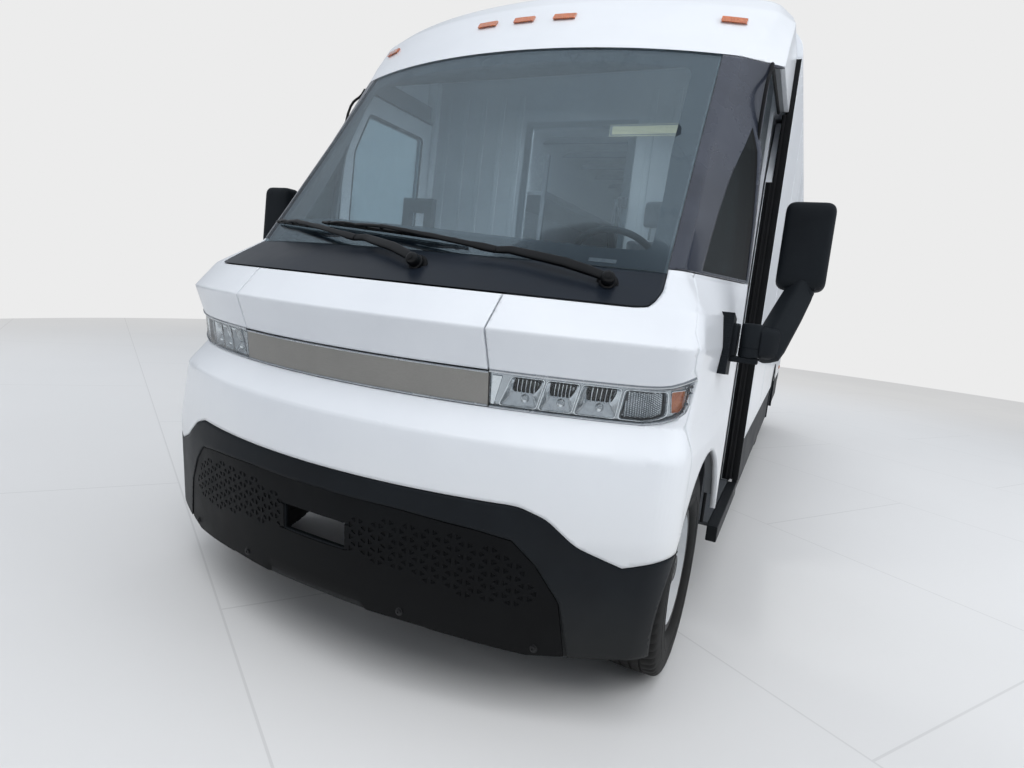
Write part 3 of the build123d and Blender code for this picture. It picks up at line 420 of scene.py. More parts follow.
# extruded and pressed aluminium, mill finish: dull silver with faint drawing lines
millAluminium = surface("millFinishAluminium", {
    "low": "9ea1a4", "high": "b2b5b8", "patch": 0.3, "grain": 0.003, "made": "brushed", "drawn": (1, 0.03, 1),
    "bump": 0.2, "rough": (0.34, 0.5), "shader": {"Metallic": 1.0}})
castIron = surface("sandCastIron", {
    "low": "3a3b3c", "high": "4c4d4e", "patch": 0.1, "grain": 0.004, "made": "pebbled", "bump": 0.6,
    "depth": 0.0008, "rough": (0.5, 0.7), "shader": {"Metallic": 0.6}})
# stove-enamelled steel sheet inside the load space
greyEnamel = surface("stoveEnamelledSteel", {
    "low": "a9adb1", "high": "b9bdc1", "patch": 0.5, "grain": 0.005, "bump": 0.08, "rough": (0.35, 0.45)})
primer = surface("greyEtchPrimer", {
    "low": "6f7377", "high": "7d8185", "patch": 0.3, "grain": 0.003, "bump": 0.2, "rough": (0.5, 0.6)})
# soft-touch moulded interior plastic with a leather-like grain
dashPlastic = surface("leatherGrainPolyolefin", {
    "low": "1b1d20", "high": "25282b", "patch": 0.3, "grain": 0.0022, "made": "pebbled", "bump": 0.5,
    "depth": 0.0004, "rough": (0.5, 0.62)})
# flat-woven polyester seat cloth: two tones of charcoal thread, drawn coarser than its 0.6 mm
# so that it shows
seatCloth = surface("wovenPolyesterSeatCloth", {
    "low": "25282c", "high": "30343a", "patch": 0.12, "grain": 0.0022, "made": "woven", "bump": 0.7,
    "depth": 0.0009, "rough": (0.8, 0.95), "fleck": "4a4f57", "flecks": 0.45,
    "shader": {"Sheen Weight": 0.35, "Sheen Roughness": 0.5}})
wiperPaint = surface("satinWiperPaint", {
    "low": "08090b", "high": "101113", "patch": 0.06, "grain": 0.0015, "bump": 0.2, "rough": (0.32, 0.44),
    "shader": {"Specular IOR Level": 0.35}})
sealRubber = surface("extrudedSealRubber", {
    "low": "0c0d0f", "high": "141517", "patch": 0.1, "grain": 0.0015, "bump": 0.4, "rough": (0.6, 0.75),
    "shader": {"Specular IOR Level": 0.3}})
wheelPaint = surface("powderCoatedWhiteWheel", {
    "low": "d5d9dd", "high": "e4e7ea", "patch": 0.08, "grain": 0.002, "bump": 0.1, "rough": (0.3, 0.42),
    "dustAndShade": ("8d877c", 0.15, 0.5), "shader": {"Coat Weight": 0.4}})
hubBlack = surface("blackCappedHub", {
    "low": "0f1012", "high": "191b1d", "patch": 0.05, "grain": 0.002, "bump": 0.3, "rough": (0.35, 0.5)})
# vulcanised tread rubber with road dust in the grooves
tyreRubber = surface("vulcanisedTyreRubber", {
    "low": "101112", "high": "191a1b", "patch": 0.06, "grain": 0.0018, "bump": 0.45, "depth": 0.0005,
    "rough": (0.62, 0.8), "dustAndShade": ("35322e", 0.0, 0.5), "shader": {"Specular IOR Level": 0.25}})
# zinc-plated fixings
zincSteel = surface("zincPlatedSteel", {
    "low": "85888b", "high": "a3a6a9", "patch": 0.01, "grain": 0.001, "bump": 0.2, "rough": (0.3, 0.45),
    "shader": {"Metallic": 1.0}})
# ceramic border print fired on the inside of the screen: slate grey, faintly dotted
borderPrint = surface("firedBorderPrint", {
    "low": "1c242d", "high": "252e38", "patch": 0.3, "grain": 0.0025, "made": "pebbled", "bump": 0.1,
    "rough": (0.25, 0.35)})
# second-surface mirror: cool silver with a soft edge
mirrorSilver = surface("silveredMirrorGlass", {
    "low": "c3c9ce", "high": "d2d7db", "patch": 0.1, "grain": 0.02, "bump": 0.0, "rough": (0.02, 0.05),
    "shader": {"Metallic": 1.0}})
# opal strip lamp, gently lit
stripLight = surface("opalStripLamp", {
    "low": "e6ddb4", "high": "efe7c2", "patch": 0.1, "grain": 0.004, "bump": 0.05, "rough": (0.35, 0.45),
    "shader": {"Emission Color": (0.85, 0.78, 0.5, 1.0), "Emission Strength": 0.35}})
# frosted acrylic over reversing lamps
frostedLens = surface("frostedPrismAcrylic", {
    "low": "b9bec2", "high": "ced2d5", "patch": 0.02, "grain": 0.005, "made": "pebbled", "bump": 0.6,
    "depth": 0.0012, "rough": (0.12, 0.2), "shader": {"Coat Weight": 1.0, "Coat Roughness": 0.03}})
displayGlass = surface("displayCoverGlass", {
    "low": "060709", "high": "0b0d10", "patch": 0.1, "grain": 0.01, "bump": 0.0, "rough": (0.05, 0.09),
    "shader": {"Coat Weight": 1.0}})

slotLook = {
    "white_paint": whitePaint, "grey_primer": primer, "black_plastic": bumperPlastic, "lamp_lens": clearLens,
    "satin_strip": brushedStrip, "gloss_black": pianoBlack, "clear_glass": screenGlass,
    "dark_glass": privacyGlass, "red_lens": redLens, "amber_lens": amberLens, "grey_floor": floorRubber,
    "chassis_black": chassisPaint, "aluminium_case": millAluminium, "cast_metal": castIron,
    "grey_panel": greyEnamel, "dark_trim": dashPlastic, "seat_fabric": seatCloth, "wiper_black": wiperPaint,
    "wheel_white": wheelPaint, "tyre_rubber": tyreRubber}
slotOf = {part["node"]: part["material_slot"] for part in frame["record"]["subparts"]}
bodies = frame["record"]["behaviour"]["bodies"]
bodyOf = {name: body for body, names in bodies.items() for name in names}
for name, slotName in slotOf.items():
    for slot in nodes[name].material_slots:
        slot.material = slotLook[slotName]
nodes["pillars"].material_slots[0].material = pillarFilm
for name in ("cab_door_glass_left", "cab_door_glass_right"):
    nodes[name].material_slots[0].material = screenGlass
print("materials ready")


# panels and hard parts with real edge radii

panelLook = {"edge": 0.002, "segments": 3}


def roundedCopy(nodeName, materials, edge=None, crease=None, paint=None, name=None):
    # the solid's own faces, with rolled edges where the sheet or moulding turns
    edge = panelLook["edge"] if edge is None else edge
    bm = bmesh.new()
    bm.from_mesh(nodes[nodeName].data)
    bmesh.ops.remove_doubles(bm, verts=bm.verts, dist=1e-5)
    bmesh.ops.dissolve_limit(bm, angle_limit=math.radians(0.4), verts=bm.verts, edges=bm.edges)
    bmesh.ops.dissolve_degenerate(bm, dist=1e-5, edges=bm.edges)
    weight = bm.edges.layers.float.new("bevel_weight_edge")
    widest = max(edge, crease or 0)
    for e in bm.edges:
        if len(e.link_faces) != 2 or e.calc_length() < 2.2 * edge:
            continue
        angle = e.calc_face_angle()
        run = e.verts[0].co - e.verts[1].co
        if angle > math.radians(50):
            e[weight] = edge / widest
        elif crease and angle > math.radians(5) and abs(run.z) < 0.2 * run.length:
            e[weight] = 1.0
    if paint:
        for f in bm.faces:
            f.material_index = paint(f.calc_center_median())
    for f in bm.faces:
        f.smooth = True
    piece = meshPiece(name or nodeName + "_skin", bm, materials, 0)
    bevel = piece.modifiers.new("rolledEdges", "BEVEL")
    bevel.limit_method = "WEIGHT"
    bevel.width = widest
    bevel.segments = panelLook["segments"]
    bevel.use_clamp_overlap = True
    bevel.harden_normals = False
    normals = piece.modifiers.new("flatFaces", "WEIGHTED_NORMAL")
    normals.weight = 80
    piece.data.set_sharp_from_angle(angle=math.radians(50))
    return onBody(piece, bodyOf[nodeName], slotOf[nodeName], nodeName)


pressedLook = {"mesh": 0.017, "rounds": 4, "edge": 0.002, "sharp": 38}


def pressedSkin(nodeName, materials, look=pressedLook):
    # the solid's own faces on an even, finer mesh, relaxed so that creases turn as pressed sheet does
    bm = bmesh.new()
    bm.from_mesh(nodes[nodeName].data)
    bmesh.ops.remove_doubles(bm, verts=bm.verts, dist=1e-5)
    bmesh.ops.triangulate(bm, faces=bm.faces)
    sharpAngle = math.radians(look["sharp"])
    for _ in range(9):
        long = [e for e in bm.edges if e.calc_length() > look["mesh"]]
        if not long:
            break
        bmesh.ops.subdivide_edges(bm, edges=long, cuts=1)
        bmesh.ops.triangulate(bm, faces=[f for f in bm.faces if len(f.verts) > 3])
        level = [e for e in bm.edges if len(e.link_faces) == 2 and e.calc_face_angle() < math.radians(4)]
        bmesh.ops.beautify_fill(bm, faces=bm.faces[:], edges=level)
    bmesh.ops.dissolve_degenerate(bm, dist=2e-4, edges=bm.edges)
    sharp = {e for e in bm.edges if len(e.link_faces) != 2 or e.calc_face_angle() > sharpAngle}
    chains = {}
    for e in sharp:
        for v in e.verts:
            chains.setdefault(v, []).append(e.other_vert(v))
    loose = [v for v in bm.verts if v not in chains]
    for _ in range(look["rounds"]):
        bmesh.ops.smooth_vert(bm, verts=loose, factor=0.5, use_axis_x=True, use_axis_y=True, use_axis_z=True)
        moved = {}
        for v, ends in chains.items():
            if len(ends) == 2:
                a, b = (v.co - ends[0].co), (ends[1].co - v.co)
                if a.length > 1e-6 and b.length > 1e-6 and a.angle(b) < math.radians(25):
                    moved[v] = v.co * 0.5 + (ends[0].co + ends[1].co) * 0.25
        for v, place in moved.items():
            v.co = place
    weight = bm.edges.layers.float.new("bevel_weight_edge")
    for e in sharp:
        if e.is_valid and len(e.link_faces) == 2:
            e[weight] = 1.0
    for f in bm.faces:
        f.smooth = True
    piece = meshPiece(nodeName + "_skin", bm, materials, 0)
    bevel = piece.modifiers.new("rolledEdges", "BEVEL")
    bevel.limit_method = "WEIGHT"
    bevel.width = look["edge"]
    bevel.segments = 2
    bevel.use_clamp_overlap = True
    piece.data.set_sharp_from_angle(angle=sharpAngle)
    return onBody(piece, bodyOf[nodeName], slotOf[nodeName], nodeName)


for name in ("front_panel", "brow_panels", "fender_left", "fender_right", "cab_roof", "hood"):
    pressedSkin(name, [whitePaint])
for name in ("side_left", "side_right", "cargo_roof", "rear_frame", "rear_door_left", "rear_door_right",
             "charge_flap"):
    roundedCopy(name, [whitePaint])
pressedSkin("bumper", [bumperPlastic])
roundedCopy("cladding", [bumperPlastic], edge=0.004)
roundedCopy("rear_step", [bumperPlastic], edge=0.006)
pressedSkin("cowl", [cowlPlastic])
pressedSkin("pillars", [pillarFilm])
roundedCopy("battery_pack", [millAluminium], edge=0.006)
print("panels rounded")


# flat plates laid on a curved face, with cut-outs

def inside(outline, x, z):
    hit = False
    for (ax, az), (bx, bz) in zip(outline, outline[1:] + outline[:1]):
        if (az > z) != (bz > z) and x < (bx - ax) * (z - az) / (bz - az) + ax:
            hit = not hit
    return hit


def divided(outline, step):
    points = []
    for (ax, az), (bx, bz) in zip(outline, outline[1:] + outline[:1]):
        count = max(1, math.ceil(math.hypot(bx - ax, bz - az) / step))
        points += [(ax + (bx - ax) * k / count, az + (bz - az) * k / count) for k in range(count)]
    return points


def layPlate(bm, outline, holes, place, step=0.03, material=0):
    # place(x, z) gives the point in space; returns each hole's ring of vertices and the border's
    rings = [divided(outline, step)] + [list(h) for h in holes]
    points, ringOf, edges = [], [], []
    for number, ring in enumerate(rings):
        start = len(points)
        points += ring
        ringOf += [number] * len(ring)
        edges += [(start + k, start + (k + 1) % len(ring)) for k in range(len(ring))]
    lowX, highX = min(p[0] for p in outline), max(p[0] for p in outline)
    lowZ, highZ = min(p[1] for p in outline), max(p[1] for p in outline)
    spans = [(min(p[0] for p in h), max(p[0] for p in h), h) for h in rings[1:]]
    for i in range(1, int((highX - lowX) / step) + 1):
        for j in range(1, int((highZ - lowZ) / step) + 1):
            x, z = lowX + i * step, lowZ + j * step
            if inside(outline, x, z) and all(math.hypot(x - a, z - b) > 0.3 * step for a, b in rings[0]) \
                    and not any(inside(h, x, z) for west, east, h in spans if west < x < east):
                points.append((x, z))
                ringOf.append(-1)
    solved = delaunay_2d_cdt([Vector(p) for p in points], edges, [], 0, 1e-6)
    flat, triangles, origins = solved[0], solved[2], solved[3]
    ringAt = [ringOf[min(o)] if o else -1 for o in origins]
    verts = [bm.verts.new(place(p.x, p.y)) for p in flat]
    for corners in triangles:
        kinds = {ringAt[c] for c in corners}
        middle = sum((flat[c] for c in corners), Vector((0, 0))) / 3
        if any(number > 0 and inside(rings[number], middle.x, middle.y) for number in kinds):
            continue
        if not inside(rings[0], middle.x, middle.y):
            continue
        bm.faces.new([verts[c] for c in corners]).material_index = material
    backTo = {}
    for index, sources in enumerate(origins):
        for source in sources:
            backTo[source] = verts[index]
    found, start = [], 0
    for ring in rings:
        found.append([backTo[start + k] for k in range(len(ring))])
        start += len(ring)
    return found


def wall(bm, ring, points, material=0):
    # joins a ring of vertices to a new ring of points and returns it
    new = [bm.verts.new(p) for p in points]
    for k in range(len(ring)):
        j = (k + 1) % len(ring)
        bm.faces.new((ring[k], ring[j], new[j], new[k])).material_index = material
    return new


# bumper: pierced and dimpled inner panel

bumperPattern = {
    "side": 0.040,         # of the triangles that the dimples sit in
    "dimple": 0.0125,      # from a dimple's middle to its corner
    "floor": 0.5,          # the dimple's floor as a share of its mouth
    "proud": 0.0048,       # the panel's face over the recess it lies in
    "deep": 0.0040,
    "start": (0.336, 0.532),
    "outline": [(0.0, 0.256), (0.48, 0.243), (0.71, 0.228), (0.808, 0.243), (0.782, 0.413), (0.712, 0.524),
                (0.646, 0.588), (0.541, 0.604), (0.308, 0.619), (0.0, 0.624)],
    "field": [(0.118, 0.428), (0.118, 0.560), (0.300, 0.600), (0.520, 0.585), (0.635, 0.565), (0.690, 0.515),
              (0.740, 0.425), (0.715, 0.368), (0.600, 0.360), (0.450, 0.385), (0.300, 0.415)],
    "open": (0.110, 0.272, 0.436, 0.546),
    "pocket": (0.128, 0.439, 0.531),
}


def makeBumperPattern(look):
    bm = bmesh.new()
    half = look["side"] / 2
    step = look["side"] * math.sqrt(3) / 2
    dimples = []
    for i in range(-12, 14):
        for j in range(-12, 12):
            x = look["start"][0] + i * step
            z = look["start"][1] + j * look["side"] + (half if i % 2 else 0)
            dimples += [(x, z, 180), (x + step * 2 / 3, z, 0)]
    margin = look["dimple"] * 0.9
    dimples = [(x, z, turn) for x, z, turn in dimples if all(
        inside(look["field"], x + margin * a, z + margin * b) for a, b in ((1, 0), (-1, 0), (0, 1), (0, -1)))]

    def ring(x, z, turn, size, sign):
        corners = [(x + size * math.cos(math.radians(turn + a)), z + size * math.sin(math.radians(turn + a)))
                   for a in (0, 120, 240)]
        return [(sign * p.x, p.y) for p in roundedOutline(corners, size * 0.42, 2)]

    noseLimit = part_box("bumper")[0].y  # the panel's top edge lies flush with the bumper, not in front of it

    def place(x, z):
        p = frontPoint(["bumper"], x, z, look["proud"])
        p.y = max(p.y, noseLimit)
        return p

    outline = look["outline"]
    whole = outline + [(-x, z) for x, z in reversed(outline) if x > 0.001]
    wide, low, high = look["pocket"]
    pocket = [(p.x, p.y) for p in roundedOutline([(-wide, low), (wide, low), (wide, high), (-wide, high)],
                                                 0.012)]
    mouths = [(x, z, turn, sign) for sign in (1, -1) for x, z, turn in dimples]
    holes = [pocket] + [ring(x, z, turn, look["dimple"], sign) for x, z, turn, sign in mouths]
    rings = layPlate(bm, whole, holes, place, 0.03)
    deeper = Vector((0, 0.007, 0))
    wall(bm, rings[0], [v.co + deeper for v in rings[0]])
    wall(bm, rings[1], [v.co + 4 * deeper for v in rings[1]])
    west, east, south, north = look["open"]
    for mouth, (x, z, turn, sign) in zip(rings[2:], mouths):
        pierced = west < x < east and south < z < north
        share = 0.86 if pierced else look["floor"]
        floor = [frontPoint(["bumper"], px, pz, look["proud"] - look["deep"])
                 for px, pz in ring(x, z, turn, look["dimple"] * share, sign)]
        bottom = wall(bm, mouth, floor, 0)
        bm.faces.new(bottom).material_index = 1 if pierced else 0
    piece = meshPiece("bumper_pattern_panel", bm, [patternPlastic, holeBlack], 28)
    return onBody(piece, "body", "black_plastic")


makeBumperPattern(bumperPattern)

bumperScrews = {"places": [(0.325, 0.286), (0.726, 0.257)], "head": 0.0095, "washer": 0.014}
bm = bmesh.new()
for x, z in bumperScrews["places"]:
    for sign in (1, -1):
        seat = frontPoint(["bumper"], sign * x, z, bumperPattern["proud"])
        ahead = Vector((0, -1, -0.05))
        r, w = bumperScrews["head"], bumperScrews["washer"]
        addLathe(bm, [(w, 0), (w, 0.0012), (r, 0.002), (r, 0.0045), (r * 0.8, 0.0058), (r * 0.42, 0.0058),
                      (r * 0.42, 0.003), (0, 0.003)], axisPlace(seat, ahead), 24)
onBody(meshPiece("bumper_screws", bm, [wiperPaint]), "body", "black_plastic")
print("bumper panel laid")


# strip and trims across the nose

noseTrim = {"bright": 0.0042,
            "lens": [(0.503, 0.9535), (0.921, 0.9535), (0.969, 0.964), (1.0095, 0.9815), (1.0255, 1.000),
                     (1.0335, 1.025), (1.0385, 1.060), (1.0405, 1.0875), (1.012, 1.0755), (0.985, 1.0645),
                     (0.940, 1.0595), (0.503, 1.0595)],
            "lip": [(0.503, 1.0645), (0.700, 1.0650), (0.860, 1.0655), (0.940, 1.0680), (0.985, 1.0745),
                    (1.012, 1.0850), (1.030, 1.0945), (1.046, 1.1050)]}


def noseLine(points, names, lift):
    return [frontPoint(names, x, z, lift) for x, z in points]


for sign, side in ((1, "left"), (-1, "right")):
    bm = bmesh.new()
    lens = [Vector((x, z, 0)) for x, z in noseTrim["lens"]]
    below = smoothPath(lens[1:8], 5)
    below = [(sign * p.x, p.y) for p in [lens[0] + (lens[1] - lens[0]) * k / 16 for k in range(16)] + below]
    above = [(sign * p.x, p.y) for p in smoothPath([Vector((x, z, 0)) for x, z in noseTrim["lip"]], 8)]
    addTube(bm, noseLine(below, ["headlamps"], 0.0004), noseTrim["bright"] * 0.8, 10, 0, 0.7, (0, 0, 1))
    top = noseLine(above, ["brow_panels", "headlamps"], 0.0)
    addTube(bm, top, 0.0062, 12, 0, 0.45, (0, 0, 1))
    onBody(meshPiece("lamp_bright_trim_" + side, bm, [brightTrim], 60), "body", "satin_strip")

bm = bmesh.new()
xs = [-0.499 + 0.998 * k / 40 for k in range(41)]
for z, size in ((1.0580, 0.0032), (0.9550, 0.0032)):
    addTube(bm, noseLine([(x, z) for x in xs], ["light_bar"], 0.0006), size, 10, 0, 0.7, (0, 0, 1))
onBody(meshPiece("light_bar_edge_trim", bm, [brightTrim], 60), "body", "satin_strip")
roundedCopy("light_bar", [brushedStrip], edge=0.0015)
print("nose trims drawn")


# headlamps

headlamp = {
    "cells": [((0.527, 0.565), (0.6365, 0.6605)), ((0.6395, 0.6635), (0.7335, 0.7555)),
              ((0.7365, 0.7585), (0.8505, 0.8655))],
    "turn": [(0.8545, 0.9595), (0.922, 0.9595), (0.962, 0.968), (0.9905, 0.983), (0.9895, 1.0585),
             (0.940, 1.0550),
             (0.8695, 1.0550)],
    "foot": 0.9595, "head": 1.0550,
    "frameDepth": 0.011, "bowlDepth": 0.052, "lip": 0.0035,
    "reflector": [(0.999, 0.993), (1.019, 0.999), (1.0275, 1.016), (1.0325, 1.058), (1.0325, 1.068),
                  (0.9950, 1.060)],
    "comb": 0.0082, "optics": (0.0036, 11),
}


def inward(sign, x):
    # the lamp's depth turns with the body's corner
    share = min(max((abs(x) - 0.88) / 0.16, 0), 1)
    turn = math.radians(60) * share * share * (3 - 2 * share)
    return Vector((-sign * math.sin(turn), math.cos(turn), 0))


def lampPoint(sign, x, z, depth):
    return frontPoint(["headlamps"], sign * x, z) + inward(sign, x) * depth


def leaning(cell, foot, head):
    (lowA, highA), (lowB, highB) = cell
    return [(lowA, foot), (lowB, foot), (highB, head), (highA, head)]


def makeHeadlamp(sign, side, look):
    bm = bmesh.new()
    outline = [(sign * x, z) for x, z in divided(noseTrim["lens"], 0.0119)]
    if sign < 0:
        outline.reverse()
    rings = layPlate(bm, outline, [], lambda x, z: frontPoint(["headlamps"], x, z, -0.0005), 0.012)
    lens = meshPiece("headlamp_lens_" + side, bm, [clearLens], 60)
    onBody(lens, "body", "lamp_lens", "headlamps")

    bm = bmesh.new()
    bowls = [leaning(cell, look["foot"], look["head"]) for cell in look["cells"]]
    mouths = [[(p.x, p.y) for p in roundedOutline(b, 0.011, 4)] for b in bowls]
    mouths.append([(p.x, p.y) for p in roundedOutline(look["turn"], 0.012, 3)])
    mouths.append([(p.x, p.y) for p in roundedOutline(look["reflector"], 0.004, 2)])
    holes = [[(sign * x, z) for x, z in m] for m in mouths]

    def face(x, z):
        return lampPoint(sign, abs(x), z, look["frameDepth"])

    rings = layPlate(bm, outline, holes, face, 0.012, 1)
    wall(bm, rings[0], [lampPoint(sign, abs(x), z, 0.0015) for x, z in outline], 1)
    for number, (mouth, shape) in enumerate(zip(rings[1:], mouths)):
        middleX = sum(p[0] for p in shape) / len(shape)
        middleZ = (look["foot"] + look["head"]) / 2

        def shrunk(share, depth, rise=0.0, drift=0.0, tall=None):
            return [lampPoint(sign, middleX + drift + (x - middleX) * share,
                              middleZ + rise + (z - middleZ) * (tall or share), depth) for x, z in shape]

        depth = look["frameDepth"]
        lip = wall(bm, mouth, shrunk(0.99, depth - look["lip"]), 0)
        lip = wall(bm, lip, shrunk(0.955, depth - look["lip"]), 0)
        lip = wall(bm, lip, shrunk(0.925, depth + 0.002), 0)
        if number == 4:  # side marker reflector
            bm.faces.new(wall(bm, lip, shrunk(0.92, depth + 0.0025), 3)).material_index = 3
            continue
        if number == 3:  # turn lamp, shallow
            bm.faces.new(wall(bm, lip, shrunk(0.90, depth + 0.018), 4)).material_index = 4
            continue
        ledge = wall(bm, lip, shrunk(0.80, depth + 0.008, 0.0030, 0, 0.80), 0)
        throat = wall(bm, ledge, shrunk(0.50, look["bowlDepth"] * 0.70, 0.0170, -0.003, 0.40), 0)
        throat = wall(bm, throat, shrunk(0.44, look["bowlDepth"], 0.0180, -0.003, 0.34), 2)
        bm.faces.new(throat).material_index = 2
    # optic blocks with upright ribs in the upper back of each bowl
    radius, ribs = look["optics"]
    for shape in bowls:
        middleX = sum(p[0] for p in shape) / 4 + 0.002
        width = (shape[1][0] - shape[0][0]) * 0.27
        for k in range(ribs):
            x = middleX - width + 2 * width * k / (ribs - 1)
            foot, head = (lampPoint(sign, x - 0.004, 1.006 - 0.005 * (k % 2), 0.034),
                          lampPoint(sign, x + 0.004, 1.046, 0.020))
            addTube(bm, [foot, (foot + head) / 2 + Vector((0, -0.004, 0)), head], radius / 2, 8,
                    0 if k % 2 else 2)
        # a small bright bulb cup below them
        cup = lampPoint(sign, middleX - 0.004, 0.988, 0.026)
        addLathe(bm, [(0.014, -0.004), (0.012, 0.002), (0.006, 0.006), (0, 0.007)],
                 axisPlace(cup, (0, -1, 0.35)), 20, 0)
    # fine comb of dished cells over the turn lamp
    pitch = look["comb"]
    field = [(0.926 + (x - 0.926) * 0.88, 1.009 + (z - 1.009) * 0.84) for x, z in look["turn"]]
    depth = look["frameDepth"] + 0.017
    for i in range(24):
        for j in range(16):
            x, z = 0.850 + i * pitch * 0.87, 0.960 + (j + 0.5 * (i % 2)) * pitch * 0.8
            if not inside(field, x, z):
                continue
            base = [lampPoint(sign, x + pitch * 0.53 * math.cos(a), z + pitch * 0.45 * math.sin(a), depth)
                    for a in (math.pi / 3 * k for k in range(6))]
            middle = lampPoint(sign, x, z, depth)
            rise = [(p - middle) * 0.55 + middle - inward(sign, x) * 0.0035 for p in base]
            addRings(bm, [base, rise, [middle - inward(sign, x) * 0.0045]], 0)
    # bright blade beside the innermost bowl
    blade = [(0.5065, 0.962), (0.5155, 0.962), (0.5380, 1.050), (0.5100, 1.050)]
    addRings(bm, [[lampPoint(sign, x, z, 0.005) for x, z in blade],
                  [lampPoint(sign, x, z, 0.014) for x, z in blade]], 0, capStart=True, capEnd=True)
    inner = meshPiece("headlamp_reflectors_" + side, bm,
                      [reflectorChrome, brightTrim, smokedOptic, amberLens, lampGrey], 30)
    onBody(inner, "body", "lamp_lens", "headlamps")


for sign, side in ((1, "left"), (-1, "right")):
    makeHeadlamp(sign, side, headlamp)
print("headlamps built")


# windscreen border, identity plate and wipers

screenBorder = {
    "edge": [(-0.8800, 1.4155), (0.8800, 1.4155), (0.8640, 1.945), (0.8540, 2.333), (-0.8540, 2.333),
             (-0.8640, 1.945)],
    "clear": [(-0.800, 1.520), (-0.441, 1.5195), (0.0, 1.502), (0.418, 1.484), (0.675, 1.478), (0.826, 1.482),
              (0.810, 1.700), (0.790, 1.880), (0.772, 2.255), (-0.772, 2.255), (-0.795, 1.880)],
    "behind": 0.0092,
    "plate": ((0.653, 0.736), (1.4275, 1.4400)),
}


def makeScreenBorder(look):
    bm = bmesh.new()
    hole = [(p.x, p.y) for p in roundedOutline(look["clear"], 0.035, 4)]
    layPlate(bm, look["edge"], [hole],
             lambda x, z: frontPoint(["windscreen"], x, z) + Vector((0, look["behind"], 0)), 0.05)
    onBody(meshPiece("screen_border_print", bm, [borderPrint], 60), "body", "gloss_black")
    bm = bmesh.new()
    (west, east), (low, high) = look["plate"]
    count = 8
    rings = []
    for k in range(count + 1):
        x = west + (east - west) * k / count
        rings.append([frontPoint(["windscreen"], x, z) + Vector((0, depth, 0))
                      for z, depth in ((low, 0.0088), (high, 0.0088), (high, 0.0080), (low, 0.0080))])
    addRings(bm, rings, 0, capStart=True, capEnd=True)
    onBody(meshPiece("identity_plate_blank", bm, [zincSteel], 30), "body", "aluminium_case")


makeScreenBorder(screenBorder)

wiperLook = {
    "left": {"heel": (0.250, 1.447), "tip": (-0.450, 1.492)},
    "right": {"heel": (-0.350, 1.462), "tip": (-0.860, 1.500)},
    "cap": 0.0225, "lift": 0.034, "bow": 0.010,
}


def addBar(bm, stations, facing, material=0, sides=24, power=0.55):
    # a rounded-square section carried along stations of (point, half side, half up)
    side = Vector(facing)
    rings = []
    points = [Vector(s[0]) for s in stations]
    for i, (point, across, up) in enumerate(stations):
        ahead = (points[min(i + 1, len(points) - 1)] - points[max(i - 1, 0)]).normalized()
        side = (side - ahead * side.dot(ahead)).normalized()
        rise = ahead.cross(side)
        ring = []
        for k in range(sides):
            c, s = math.cos(2 * math.pi * k / sides), math.sin(2 * math.pi * k / sides)
            ring.append(Vector(point) + side * across * math.copysign(abs(c) ** power, c)
                        + rise * up * math.copysign(abs(s) ** power, s))
        rings.append(ring)
    addRings(bm, rings, material, capStart=True, capEnd=True)


def jointOf(child):
    joint = next(j for j in frame["joints"] if j["child"] == child)
    return Vector(joint["pos_m"]), Vector(joint["axis"]).normalized()


